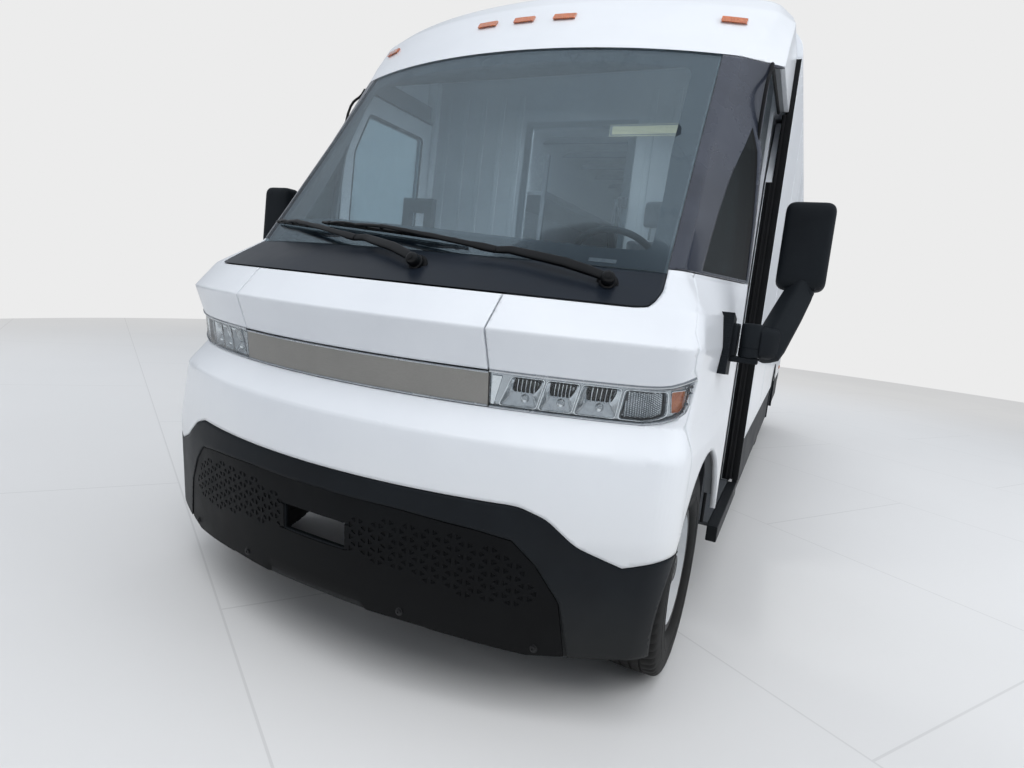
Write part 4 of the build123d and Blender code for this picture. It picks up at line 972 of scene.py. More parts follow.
for side in ("left", "right"):
    node = "wiper_" + side
    pivot, axis = jointOf(node)
    outward = -axis if axis.y > 0 else axis
    place = axisPlace(pivot, outward)
    bm = bmesh.new()
    r = wiperLook["cap"]
    addLathe(bm, [(0.0085, -0.024), (0.0085, 0.012), (r * 1.15, 0.012), (r * 1.22, 0.015), (r * 1.18, 0.021),
                  (r, 0.024), (r, 0.044), (r * 0.93, 0.050), (r * 0.72, 0.0555), (r * 0.4, 0.0585),
                  (0, 0.0595)],
             place, 32)
    addLathe(bm, [(r * 0.45, 0.059), (r * 0.45, 0.0605), (r * 0.36, 0.0612), (0, 0.0612)], place, 24)
    heel, tip = wiperLook[side]["heel"], wiperLook[side]["tip"]
    lip, spine, normals = [], [], []
    for k in range(33):
        x, z = (heel[0] + (tip[0] - heel[0]) * k / 32, heel[1] + (tip[1] - heel[1]) * k / 32)
        base, normal = cast(["windscreen"], (x, front - 1, z), (0, 1, 0))
        lip.append(base + normal * 0.0050)
        spine.append(base + normal * 0.0125)
        normals.append(normal)
    addBar(bm, [(p, 0.0022, 0.0045) for p in lip], normals[0].cross(lip[1] - lip[0]), 1, 12, 0.8)
    addBar(bm, [(p, 0.0058, 0.0030) for p in spine], normals[0].cross(lip[1] - lip[0]), 0, 12, 0.7)
    # main bow over two pairs of claws, as on a framed blade
    for first, last, rise, size in ((7, 25, 0.030, 0.0062), (2, 12, 0.0215, 0.0046),
                                    (20, 30, 0.0215, 0.0046)):
        foot, head, middle = spine[first], spine[last], spine[(first + last) // 2]
        normal = normals[(first + last) // 2]
        curve = smoothPath([foot, foot.lerp(middle, 0.45) + normal * rise * 0.42,
                            middle + normal * rise * 0.62,
                            head.lerp(middle, 0.45) + normal * rise * 0.42, head], 5)
        addBar(bm, [(p, size, size * 0.8) for p in curve], normals[0].cross(lip[1] - lip[0]), 0, 12, 0.6)
    for k in (2, 7, 12, 20, 25, 30):
        along = (spine[k + 1] - spine[k]).normalized()
        addBar(bm, [(spine[k] - along * 0.006, 0.0085, 0.006), (spine[k] + along * 0.006, 0.0085, 0.006)],
               normals[k].cross(along), 0, 12, 0.5)
    # arm: a wide pressed cover from the spindle, a knuckle, then the slimmer rod down to the blade
    start = pivot + outward * 0.030
    mid = ((heel[0] + tip[0]) / 2, (heel[1] + tip[1]) / 2)
    elbow = ((pivot.x + mid[0]) / 2, (pivot.z + mid[1]) / 2 + wiperLook["bow"])
    line = []
    for k in range(19):
        t = k / 18
        x = pivot.x * (1 - t) ** 2 + 2 * elbow[0] * t * (1 - t) + mid[0] * t * t
        z = pivot.z * (1 - t) ** 2 + 2 * elbow[1] * t * (1 - t) + mid[1] * t * t
        base, normal = cast(["windscreen", "cowl"], (x, front - 1, z), (0, 1, 0))
        line.append(base + normal * wiperLook["lift"] if k > 2
                    else start.lerp(base + normal * wiperLook["lift"], k / 3))
    across = normal.cross(line[-1] - line[0]).normalized()
    cover = zip(line[:9], (0.010, 0.0145, 0.0165, 0.0170, 0.0165, 0.0160, 0.0150, 0.0140, 0.0120),
                (0.006, 0.009, 0.010, 0.0100, 0.0095, 0.0090, 0.0085, 0.0080, 0.0065))
    addBar(bm, list(cover), across)
    rod = zip(line[8:], (0.0125, 0.0135, 0.0105, 0.0100, 0.0095, 0.0090, 0.0085, 0.0080, 0.0080, 0.0075,
                         0.0070),
              (0.0080, 0.0085, 0.0060, 0.0055, 0.0050, 0.0050, 0.0045, 0.0045, 0.0045, 0.0040, 0.0040))
    addBar(bm, list(rod), across)
    # the hook that carries the blade
    middle = spine[16]
    addBar(bm, [(line[-1] + normals[16] * 0.002, 0.0075, 0.005), (line[-1].lerp(middle, 0.4), 0.0085, 0.008),
                (middle + normals[16] * 0.010, 0.0085, 0.010)], across)
    onBody(meshPiece("wiper_parts_" + side, bm, [wiperPaint, sealRubber], 40), node, "wiper_black", node)

bm = bmesh.new()
for side in ("left", "right"):
    pivot, axis = jointOf("wiper_" + side)
    outward = -axis if axis.y > 0 else axis
    place = axisPlace(pivot, outward)
    addLathe(bm, [(0.0125, -0.012), (0.0125, 0.0045), (0.016, 0.0058), (0.030, 0.0050), (0.034, 0.0015),
                  (0.0345, -0.004)], place, 40)
onBody(meshPiece("wiper_spindle_collars", bm, [sealRubber], 40), "body", "black_plastic")
print("screen and wipers done")


# mirrors

mirrorLook = {
    "glass": ((1.203, 1.333), (1.428, 1.706)),
    "head": ((1.188, 1.348), (1.410, 1.724)), "depth": (1.000, 1.100), "corner": 0.036,
    "pin": (1.150, 0.850), "hub": (0.0355, 1.1615, 1.278),
    "block": [((1.156, 0.856, 1.2165), 0.040, 0.047), ((1.164, 0.863, 1.2165), 0.047, 0.0535),
              ((1.186, 0.882, 1.2160), 0.049, 0.0540), ((1.204, 0.898, 1.2155), 0.048, 0.0530),
              ((1.212, 0.905, 1.2155), 0.040, 0.0450)],
    "arm": [((1.1900, 0.8750, 1.166), 0.030, 0.030), ((1.1945, 0.8830, 1.178), 0.044, 0.043),
            ((1.2040, 0.9010, 1.205), 0.047, 0.046), ((1.2420, 0.9760, 1.318), 0.045, 0.044),
            ((1.2650, 1.0220, 1.390), 0.042, 0.041), ((1.2755, 1.0400, 1.428), 0.039, 0.038)],
    "ribs": 26, "plateFront": ((0.760, 1.100), (0.800, 1.310)),
}

for sign, side in ((1, "left"), (-1, "right")):
    node = "mirror_" + side
    (west, east), (low, high) = mirrorLook["head"]
    near, far = mirrorLook["depth"]
    middle = ((west + east) / 2, (low + high) / 2)
    shape = [(p.x - middle[0], p.y - middle[1]) for p in
             roundedOutline([(west, low), (east, low), (east, high), (west, high)], mirrorLook["corner"], 7)]

    def headRing(inset, y, shape=shape, middle=middle, sign=sign):
        width, tall = (east - west) / 2, (high - low) / 2
        return [Vector((sign * (middle[0] + x * (1 - inset / width)), at(y),
                        middle[1] + z * (1 - inset / tall)))
                for x, z in shape]

    bm = bmesh.new()
    shell = [headRing(i, near + d)
             for i, d in ((0.060, 0.0), (0.045, 0.0006), (0.030, 0.0022), (0.018, 0.0060),
                          (0.0095, 0.0120), (0.0040, 0.0210), (0.0008, 0.0330), (0.0, 0.0480),
                          (0.0, 0.0560), (0.0018, 0.0564), (0.0018, 0.0580), (0.0, 0.0584),
                          (0.0, 0.0920), (0.0015, 0.0975), (0.0050, 0.1000), (0.0100, 0.1000),
                          (0.0115, 0.0975))]
    addRings(bm, shell, 0, capStart=True, capEnd=True)
    pinX, pinY = mirrorLook["pin"]
    radius, foot, top = mirrorLook["hub"]
    addLathe(bm, [(0, foot), (radius - 0.004, foot), (radius, foot + 0.004), (radius, foot + 0.030),
                  (radius - 0.0015, foot + 0.0315), (radius - 0.0015, foot + 0.0335), (radius, foot + 0.035),
                  (radius, top - 0.010), (radius - 0.003, top - 0.003), (radius - 0.010, top),
                  (0, top + 0.001)],
             Matrix.Translation((sign * pinX, at(pinY), 0)), 48)
    for bar, power in ((mirrorLook["block"], 0.40), (mirrorLook["arm"], 0.55)):
        addBar(bm, [((sign * p[0], at(p[1]), p[2]), across, up) for p, across, up in bar],
               (sign * 0.62, -0.78, 0), 0, 36, power)
    # gasket where the arm enters the head
    addBar(bm, [((sign * 1.2765, at(1.0420), z), a, b)
                for z, a, b in ((1.396, 0.039, 0.040), (1.404, 0.041, 0.042), (1.413, 0.041, 0.042))],
           (sign * 1.0, 0, 0), 0, 36, 0.62)
    onBody(meshPiece("mirror_housing_" + side, bm, [bumperPlastic], 35), node, "black_plastic", node)
    (west, east), (low, high) = mirrorLook["glass"]
    place = Matrix(((sign, 0, 0, 0), (0, 0, 1, at(far) - 0.003), (0, 1, 0, 0), (0, 0, 0, 1)))
    rim = [(p.x, p.y) for p in roundedOutline([(west, low), (east, low), (east, high), (west, high)], 0.022,
                                              5)]
    middle = ((west + east) / 2, (low + high) / 2)
    bm = bmesh.new()

    def scaled(share):
        return [(middle[0] + (x - middle[0]) * share, middle[1] + (z - middle[1]) * share) for x, z in rim]

    rings = [[place @ Vector((x, z, depth)) for x, z in scaled(share)]
             for share, depth in ((1.03, -0.002), (1.03, 0.0015), (0.985, 0.0018), (0.96, 0.0005))]
    addRings(bm, rings, 0)
    glassRing = [[place @ Vector((x, z, depth)) for x, z in scaled(share)]
                 for share, depth in ((0.965, 0.0007), (0.5, 0.0012), (0.1, 0.0013))]
    addRings(bm, glassRing, 1, capEnd=True)
    onBody(meshPiece("mirror_glass_" + side, bm, [sealRubber, mirrorSilver], 40), node, "dark_glass")
    # fine ribs across the base plate's front edge
    bm = bmesh.new()
    (nearFoot, foot), (nearHead, top) = mirrorLook["plateFront"]
    for k in range(mirrorLook["ribs"]):
        share = (k + 0.5) / mirrorLook["ribs"]
        z, y = foot + (top - foot) * share, nearFoot + (nearHead - nearFoot) * share
        x = sorted((sign * 1.054, sign * 1.090))
        addBox(bm, (x[0], -0.0012, -0.0014), (x[1], 0.004, 0.0014), 0.0006, 0,
               Matrix.Translation((0, at(y), z)), 1)
    # fixed half of the knuckle, up to the parting line
    x = sorted((sign * 1.084, sign * 1.1095))
    addBox(bm, (x[0], at(0.812), 1.162), (x[1], at(0.896), 1.2735), 0.009, 0, None, 3)
    onBody(meshPiece("mirror_base_ribs_" + side, bm, [bumperPlastic], 30), "body", "black_plastic")
roundedCopy("mirror_bases", [bumperPlastic], edge=0.004)
print("mirrors done")


# wheels and tyres

wheelLook = {"hub": 0.092, "nutCircle": 0.065, "nut": 0.0125, "cap": 0.046, "valve": 0.168, "steps": 240}
treadLine = [(0.2222, 0.0815), (0.2300, 0.0950), (0.2420, 0.1040), (0.2560, 0.1085), (0.2680, 0.1105),
             (0.2690, 0.1120), (0.2760, 0.1124), (0.2770, 0.1112), (0.2960, 0.1122), (0.3120, 0.1118),
             (0.3130, 0.1108),
             (0.3260, 0.1096), (0.3400, 0.1065), (0.3520, 0.1025), (0.3610, 0.0970), (0.3665, 0.0900),
             (0.3690, 0.0830), (0.3700, 0.0590), (0.3695, 0.0572), (0.3630, 0.0560), (0.3630, 0.0500),
             (0.3700, 0.0488), (0.3709, 0.0470), (0.3712, 0.0230), (0.3706, 0.0214), (0.3640, 0.0204),
             (0.3640, 0.0146), (0.3710, 0.0134), (0.3716, 0.0118), (0.3718, 0.0)]


def makeWheel(end, sign, side):
    rim, tyre, body = f"rim_{end}_{side}", f"tyre_{end}_{side}", f"wheel_{end}_{side}"
    low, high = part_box(tyre)
    middle = (low + high) / 2
    place = (Matrix.Translation(middle)
             @ Matrix(((0, 0, sign, 0), (1, 0, 0, 0), (0, sign, 0, 0), (0, 0, 0, 1))))

    def isHub(c):
        outside = (c.x - middle.x) * sign > 0.0145
        return 1 if outside and math.hypot(c.y - middle.y, c.z - middle.z) < wheelLook["hub"] else 0

    roundedCopy(rim, [wheelPaint, hubBlack], edge=0.002, paint=isHub)
    bm = bmesh.new()
    cap = wheelLook["cap"]
    addLathe(bm, [(cap + 0.003, 0.0505), (cap + 0.003, 0.056), (cap + 0.0015, 0.058), (cap + 0.0015, 0.0805),
                  (cap - 0.001, 0.0845), (cap - 0.006, 0.0862), (cap - 0.013, 0.0862), (cap - 0.015, 0.0848),
                  (cap - 0.026, 0.0850), (cap - 0.028, 0.0868), (0, 0.0872)], place, 48)
    for k in range(5):
        a = 2 * math.pi * k / 5
        seat = place @ Matrix.Translation((wheelLook["nutCircle"] * math.cos(a),
                                           wheelLook["nutCircle"] * math.sin(a), 0))
        n = wheelLook["nut"]
        addLathe(bm, [(n * 1.25, 0.0505), (n * 1.25, 0.0540), (n * 1.12, 0.0552)], seat, 24)
        addLathe(bm, [(n * 1.10, 0.052), (n * 1.10, 0.0735), (n * 0.92, 0.0760), (n * 0.5, 0.0778),
                      (0, 0.0782)],
                 seat @ Matrix.Rotation(a, 4, "Z"), 6)
    addTube(bm, [place @ Vector((wheelLook["valve"], 0, d)) for d in (0.050, 0.056, 0.062, 0.066)],
            [0.0055, 0.0045, 0.0040, 0.0048], 12, 1)
    onBody(meshPiece("hub_and_nuts_" + end + "_" + side, bm, [hubBlack, sealRubber], 30), body,
           "black_plastic")

    bm = bmesh.new()
    steps = wheelLook["steps"]
    line = treadLine + [(r, -x) for r, x in reversed(treadLine[:-1])]
    rings = []
    for radius, along in line:
        ring = []
        for k in range(steps):
            r = radius
            away = abs(along)
            stagger = 2 if along > 0 else 0
            if away > 0.062 and radius > 0.356:
                r -= 0.0075 * ((k + stagger) % 4 == 0) * min(1, (radius - 0.352) / 0.012)
            elif away < 0.05 and radius > 0.3695:
                r -= 0.0028 * ((k + stagger * 2 + int(away * 100)) % 4 == 0)
            a = 2 * math.pi * k / steps
            ring.append(place @ Vector((r * math.cos(a), r * math.sin(a), along)))
        rings.append(ring)
    addRings(bm, rings + [rings[0]], 0)
    bmesh.ops.remove_doubles(bm, verts=bm.verts, dist=1e-6)
    onBody(meshPiece("tyre_moulded_" + end + "_" + side, bm, [tyreRubber], 32), body, "tyre_rubber", tyre)


for end in ("front", "rear"):
    for sign, side in ((1, "left"), (-1, "right")):
        makeWheel(end, sign, side)
print("wheels done")


# cab doors, seals and handles

doorLook = {
    "window": [(1.340, 1.180), (1.340, 1.985), (1.450, 2.215), (2.010, 2.215), (2.010, 1.180)],
    "face": 1.0582, "back": 1.0290, "open": 0.835, "seal": 0.0045,
    "doorway": [(1.2445, 0.430), (1.2445, 2.000), (1.3945, 2.334), (2.092, 2.334)],
}

for sign, side, shift in ((1, "left", doorLook["open"]), (-1, "right", 0.0)):
    body = "cab_door_" + side
    roundedCopy(body, [whitePaint], edge=0.003)
    bm = bmesh.new()
    shape = roundedOutline([(y, z) for y, z in doorLook["window"]], 0.03, 5)
    for lift in (doorLook["face"], doorLook["back"]):
        loop = [Vector((sign * lift, at(p.x + shift), p.y)) for p in shape]
        addTube(bm, loop + [loop[0]], doorLook["seal"], 8, 0, 2.0, (sign, 0, 0))
    onBody(meshPiece("cab_door_seal_" + side, bm, [sealRubber], 45), body, "black_plastic")
    bm = bmesh.new()
    low, high = at(1.250 + shift + 0.052), at(1.250 + shift + 0.103)
    x = sorted((sign * 1.0585, sign * 1.0622))
    addBox(bm, (x[0], low, 0.925), (x[1], high, 1.145), 0.0015)
    x = sorted((sign * 1.060, sign * 1.0715))
    addBox(bm, (x[0], low + 0.010, 0.940), (x[1], high - 0.012, 1.130), 0.0035, segments=3)
    onBody(meshPiece("cab_door_handle_" + side, bm, [bumperPlastic], 30), body, "black_plastic")
    bm = bmesh.new()
    path = [Vector((sign * 1.0400, at(y), z)) for y, z in doorLook["doorway"]]
    addTube(bm, smoothPath(path[:3], 8) + path[3:], 0.007, 10, 0, 1.0)
    rear = [Vector((sign * 1.0675, at(2.0965), z)) for z in (0.432, 1.0, 1.6, 2.325)]
    addTube(bm, rear, [0.0095] * 4, 10)
    x = sorted((sign * 1.0715, sign * 1.1085))
    addBox(bm, (x[0], at(2.0968), 0.430), (x[1], at(2.1004), 2.596), 0.0012)
    onBody(meshPiece("doorway_seal_" + side, bm, [sealRubber], 45), "body", "black_plastic")
    bm = bmesh.new()
    x = sorted((sign * 1.0295, sign * 1.0690))
    lead = 1.2562 + shift
    addBox(bm, (x[0], at(lead) - 0.0032, 0.426), (x[1], at(lead) + 0.0005, 1.990), 0.0012)
    addTube(bm, [(sign * 1.049, at(lead) - 0.004, z) for z in (0.430, 0.9, 1.4, 1.985)], 0.006, 10)
    onBody(meshPiece("cab_door_leading_seal_" + side, bm, [sealRubber], 45), body, "black_plastic")
print("doors done")


# the load body's outside

bodyLook = {"rivet": 0.0045, "pitch": 0.15, "rows": (0.690, 2.575), "joints": (3.30, 4.50, 5.70, 6.80)}

bm = bmesh.new()
for sign in (1, -1):
    for z in bodyLook["rows"]:
        y = 2.14
        while y < 7.24:
            if not (z < 1.0 and 4.90 < y < 6.05):
                r = bodyLook["rivet"]
                addLathe(bm, [(r, -0.0006), (r * 0.9, 0.0012), (r * 0.5, 0.0022), (0, 0.0025)],
                         axisPlace((sign * 1.110, at(y), z), (sign, 0, 0)), 10)
            y += bodyLook["pitch"]
    for y in bodyLook["joints"]:
        x = sorted((sign * 1.1098, sign * 1.1112))
        addBox(bm, (x[0], at(y) - 0.016, 0.668), (x[1], at(y) + 0.016, 2.600), 0.0006)
        for k in range(13):
            for offset in (-0.009, 0.009):
                r = 0.0035
                addLathe(bm, [(r, 0.0008), (r * 0.9, 0.0022), (r * 0.5, 0.0030), (0, 0.0033)],
                         axisPlace((sign * 1.110, at(y) + offset, 0.72 + 0.15 * k), (sign, 0, 0)), 8)
onBody(meshPiece("side_rivets_and_joint_strips", bm, [whitePaint], 40), "body", "white_paint")

sideLamps = {"places": (6.95,), "z": 0.735, "half": (0.045, 0.016)}
for sign, side in ((1, "left"), (-1, "right")):
    bm = bmesh.new()
    for y in sideLamps["places"]:
        halfY, halfZ = sideLamps["half"]
        if 4.90 < y < 6.05:
            continue
        x = sorted((sign * 1.1095, sign * 1.1150))
        addBox(bm, (x[0], at(y) - halfY - 0.006, sideLamps["z"] - halfZ - 0.006),
               (x[1], at(y) + halfY + 0.006, sideLamps["z"] + halfZ + 0.006), 0.003, 1)
        x = sorted((sign * 1.1120, sign * 1.1195))
        addBox(bm, (x[0], at(y) - halfY, sideLamps["z"] - halfZ),
               (x[1], at(y) + halfY, sideLamps["z"] + halfZ),
               0.004, 0, segments=3)
    onBody(meshPiece("side_marker_lamps_" + side, bm, [amberLens, sealRubber], 40), "body", "red_lens")

rearLook = {"face": 7.320, "lamp": ((1.022, 1.093), (1.052, 1.448)), "plateHalf": 0.165,
            "plateZ": (0.470, 0.560)}
bm = bmesh.new()
for sign in (1, -1):
    (west, east), (low, high) = rearLook["lamp"]
    x = sorted((sign * (west - 0.001), sign * (east + 0.001)))
    y = at(rearLook["face"])
    addBox(bm, (x[0] - 0.002, y + 0.001, low - 0.004), (x[1] + 0.002, y + 0.0125, high + 0.004), 0.004, 3)
    for foot, head, kind in ((low, low + 0.10, 1), (low + 0.104, low + 0.19, 2), (low + 0.194, high, 0)):
        addBox(bm, (x[0], y + 0.010, foot + 0.002), (x[1], y + 0.0225, head - 0.002), 0.006, kind, segments=4)
        for k in range(4):
            z = foot + (head - foot) * (k + 0.5) / 4
            addBox(bm, (x[0] + 0.008, y + 0.0215, z - 0.002), (x[1] - 0.008, y + 0.0236, z + 0.002), 0.0009,
                   kind)
onBody(meshPiece("rear_lamp_clusters", bm, [redLens, frostedLens, amberLens, sealRubber], 40), "body",
       "red_lens",
       "rear_lamps")

bm = bmesh.new()
low, high = rearLook["plateZ"]
y = at(7.390)
addBox(bm, (-rearLook["plateHalf"], y - 0.0035, low - 0.012),
       (rearLook["plateHalf"], y - 0.0005, high + 0.018), 0.001, 0)
for sign in (1, -1):
    addLathe(bm, [(0.0065, -0.0014), (0.0062, -0.0004), (0.003, -0.0002), (0, -0.0002)],
             axisPlace((sign * 0.089, y, 0.510), (0, 1, 0)), 16, 1)
onBody(meshPiece("licence_plate_blank", bm, [greyEnamel, zincSteel], 30), "body", "aluminium_case")

bm = bmesh.new()
stepZ = 0.6005
for i in range(39):
    for j in range(3):
        x, y2 = -0.95 + i * 0.05, at(7.338 + j * 0.018)
        turn = (Matrix.Translation((x, y2, stepZ))
                @ Matrix.Rotation(math.radians(45 if (i + j) % 2 else -45), 4, "Z"))
        addBox(bm, (-0.011, -0.0022, -0.0010), (0.011, 0.0022, 0.0016), 0.0009, 0, turn, 1)
onBody(meshPiece("rear_step_tread", bm, [millAluminium], 40), "body", "black_plastic")

for sign, side in ((1, "left"), (-1, "right")):
    bm = bmesh.new()
    outline = [Vector((sign * x, at(7.3192), z))
               for x, z in ((0.008, 0.712), (0.990, 0.712), (0.990, 2.470), (0.008, 2.470))]
    path = []
    for a, b in zip(outline, outline[1:] + outline[:1]):
        path += [a + (b - a) * k / 6 for k in range(6)]
    addTube(bm, path + [path[0]], 0.0055, 8, 0, 0.6, (0, 1, 0))
    onBody(meshPiece("rear_door_seal_" + side, bm, [sealRubber], 45), "rear_door_" + side, "black_plastic")
print("load body dressed")


# the cab inside

def mouldedPart(name, bm, materials, body, slotName, *standsFor, smooth=40):
    return onBody(meshPiece(name, bm, materials, smooth), body, slotName, *standsFor)


roundedCopy("dashboard", [dashPlastic], edge=0.010)
roundedCopy("jump_seat", [dashPlastic], edge=0.012)
roundedCopy("seat_base", [chassisPaint], edge=0.006)
dashLook = {"column": (0.540, 1.230, 1.455), "lean": (0, 0.77, 0.64), "wheel": 0.190, "rim": 0.0145,
            "display": ((0.405, 0.675), 1.055, (1.400, 1.515)),
            "centre": ((-0.02, 0.27), 1.078, (1.355, 1.500))}

bm = bmesh.new()
column = Vector((dashLook["column"][0], at(dashLook["column"][1]), dashLook["column"][2]))
lean = Vector(dashLook["lean"]).normalized()
place = axisPlace(column, lean)
sideways = place.to_3x3().inverted() @ Vector((1, 0, 0))
base = math.atan2(sideways.y, sideways.x)
loop = []
for k in range(73):
    a = 2 * math.pi * k / 72
    loop.append(place @ Vector((dashLook["wheel"] * math.cos(a), dashLook["wheel"] * math.sin(a), 0)))
addTube(bm, loop, dashLook["rim"], 12)
addLathe(bm, [(0.050, -0.042), (0.056, -0.030), (0.066, -0.012), (0.064, -0.002), (0.050, 0.006),
              (0.028, 0.010),
              (0, 0.011)], place, 36)
for turn in (0, math.pi, -math.pi / 2):
    a = base + turn
    way = Vector((math.cos(a), math.sin(a), 0))
    spoke = [place @ (way * reach + Vector((0, 0, rise))) for reach, rise in ((0.045, -0.012), (0.09, -0.014),
                                                                             (0.14, -0.008), (0.184, -0.001))]
    addTube(bm, smoothPath(spoke, 4), 0.017, 10, 0, 0.5, place.to_3x3() @ Vector((-way.y, way.x, 0)))
mouldedPart("steering_wheel_leather", bm, [dashPlastic], "steering_wheel", "dark_trim", "steering_wheel")

bm = bmesh.new()
for span, depth, (low, high) in (dashLook["display"], dashLook["centre"]):
    tilt = Matrix.Translation((0, at(depth), (low + high) / 2)) @ Matrix.Rotation(math.radians(-14), 4, "X")
    half = (high - low) / 2
    addBox(bm, (span[0], -0.014, -half), (span[1], 0.012, half), 0.007, 0, tilt, 3)
    addBox(bm, (span[0] + 0.008, 0.0105, -half + 0.008), (span[1] - 0.008, 0.0135, half - 0.008), 0.002, 1,
           tilt)
    addTube(bm, [tilt @ Vector(((span[0] + span[1]) / 2, -0.008, -half)),
                 Vector(((span[0] + span[1]) / 2, at(depth) - 0.03, low - 0.10))], 0.024, 12, 0)
mouldedPart("dash_displays", bm, [dashPlastic, displayGlass], "body", "dark_trim", smooth=30)

bm = bmesh.new()
for x in (-0.70, -0.28, 0.36, 0.74):
    tilt = Matrix.Translation((x, at(1.048), 1.335)) @ Matrix.Rotation(math.radians(-52), 4, "X")
    addBox(bm, (-0.062, -0.004, -0.030), (0.062, 0.006, 0.030), 0.005, 0, tilt, 3)
    for k in range(5):
        z = -0.021 + 0.0105 * k
        addBox(bm, (-0.054, 0.004, z - 0.0014), (0.054, 0.0085, z + 0.0014), 0.0006, 1, tilt, 1)
addBox(bm, (-0.62, at(1.0925), 1.150), (-0.22, at(1.0985), 1.265), 0.004, 0, None, 3)
addTube(bm, [(-0.50, at(1.104), 1.248), (-0.34, at(1.104), 1.248)], 0.006, 10, 1)
mouldedPart("dash_vents_and_locker", bm, [dashPlastic, sealRubber], "body", "dark_trim", smooth=30)

bm = bmesh.new()
for x in (0.455, 0.560):
    addBox(bm, (x - 0.028, at(0.930), 0.760), (x + 0.028, at(0.944), 0.850), 0.006, 0,
           None, 3)
    addTube(bm, [(x, at(0.93), 0.84), (x, at(0.86), 0.98), (x, at(0.83), 1.09)], 0.009, 8, 1)
mouldedPart("driver_pedals", bm, [sealRubber, chassisPaint], "body", "dark_trim", smooth=30)
print("dash done")


# seats: sewn covers over foam

seatLook = {"voxel": 0.009, "pressure": 4.0, "cap": 0.024, "seam": 0.0035}


def applyModifier(piece, name):
    graph = bpy.context.evaluated_depsgraph_get()
    done = bpy.data.meshes.new_from_object(piece.evaluated_get(graph))
    piece.modifiers.remove(piece.modifiers[name])
    piece.data = done


def softForm(bm, stations, width):
    # closed form lofted through side-view stations: (y, z, half thickness, lean) across a width
    rings = []
    for k, (share, crown) in enumerate(((-1.0, 0.62), (-0.93, 0.86), (-0.6, 1.0), (0.0, 1.0), (0.6, 1.0),
                                        (0.93, 0.86), (1.0, 0.62))):
        x = width[0] + (width[1] - width[0]) * (share + 1) / 2
        ring = []
        middleY = sum(p[0] for p in stations) / len(stations)
        middleZ = sum(p[1] for p in stations) / len(stations)
        for y, z in stations:
            ring.append(Vector((x, at(middleY + (y - middleY) * (0.90 + 0.10 * crown)),
                                middleZ + (z - middleZ) * (0.80 + 0.20 * crown))))
        rings.append(ring)
    addRings(bm, rings, 0, capStart=True, capEnd=True)


def swollen(name, bm, look=seatLook):
    bmesh.ops.recalc_face_normals(bm, faces=bm.faces)
    mesh = bpy.data.meshes.new(name)
    bm.to_mesh(mesh)
    bm.free()
    piece = bpy.data.objects.new(name, mesh)
    bpy.context.scene.collection.objects.link(piece)
    bpy.context.view_layer.objects.active = piece
    remesh = piece.modifiers.new("evenMesh", "REMESH")
    remesh.mode = "VOXEL"
    remesh.voxel_size = look["voxel"]
    applyModifier(piece, "evenMesh")
    rest = [v.co.copy() for v in piece.data.vertices]
    cloth = piece.modifiers.new("cover", "CLOTH")
    cloth.settings.use_pressure = True
    cloth.settings.uniform_pressure_force = look["pressure"]
    cloth.settings.effector_weights.gravity = 0
    cloth.settings.tension_stiffness = 20
    cloth.settings.compression_stiffness = 20
    cloth.point_cache.frame_end = 20
    for number in range(1, 21):
        bpy.context.scene.frame_set(number)
    done = piece.evaluated_get(bpy.context.evaluated_depsgraph_get())
    grown = [v.co.copy() for v in done.data.vertices]
    piece.modifiers.remove(cloth)
    bpy.context.scene.frame_set(1)
    for v, was, now in zip(piece.data.vertices, rest, grown):
        move = now - was
        v.co = was + move * min(1.0, look["cap"] / max(move.length, 1e-6))
    return piece


def pressSeams(piece, lines, depth, width):
    # each line is (axis, value): the cover is drawn in along it
    for v in piece.data.vertices:
        pull = 0.0
        for axis, value in lines:
            away = abs(v.co[axis] - value)
            pull = max(pull, math.exp(-(away / width) ** 2))
        if pull > 0.01:
            v.co -= v.normal * depth * pull


def dressSeat(name, shape, width, body, standsFor, seams, material=None):
    bm = bmesh.new()
    softForm(bm, shape, width)
    piece = swollen(name, bm)
    pressSeams(piece, seams, seatLook["seam"] * 2.2, 0.006)
    smoothing = piece.modifiers.new("softer", "SUBSURF")
    smoothing.levels = smoothing.render_levels = 1
    piece.data.materials.clear()
    piece.data.materials.append(material or seatCloth)
    piece.data.shade_smooth()
    return onBody(piece, body, "seat_fabric", *standsFor)


driverX = 0.540
dressSeat("driver_seat_cushion", [(1.445, 0.985), (1.440, 1.045), (1.470, 1.080), (1.60, 1.075),
                                  (1.80, 1.060),
                                  (1.915, 1.062), (1.915, 0.985), (1.70, 0.975)],
          (driverX - 0.190, driverX + 0.190), "body", ["driver_seat"],
          [(0, driverX - 0.11), (0, driverX + 0.11), (1, at(1.56))])
dressSeat("driver_seat_back", [(1.895, 1.085), (1.900, 1.25), (1.945, 1.45), (2.020, 1.672), (2.082, 1.672),
                               (2.050, 1.45), (1.990, 1.20), (1.965, 1.085)],
          (driverX - 0.180, driverX + 0.180), "body", ["driver_seat"],
          [(0, driverX - 0.105), (0, driverX + 0.105), (2, 1.30)])
dressSeat("driver_seat_headrest", [(2.045, 1.735), (2.050, 1.86), (2.072, 1.875), (2.100, 1.865),
                                   (2.085, 1.735),
                                   (2.065, 1.725)],
          (driverX - 0.095, driverX + 0.095), "body", ["driver_seat"], [(0, driverX)])
dressSeat("jump_seat_cushion", [(1.232, 1.062), (1.228, 1.085), (1.245, 1.104), (1.40, 1.106), (1.560, 1.104),
                                (1.575, 1.085), (1.570, 1.062), (1.40, 1.058)],
          (-0.760 - 0.180, -0.760 + 0.180), "jump_cushion", ["jump_cushion"], [(1, at(1.40))])

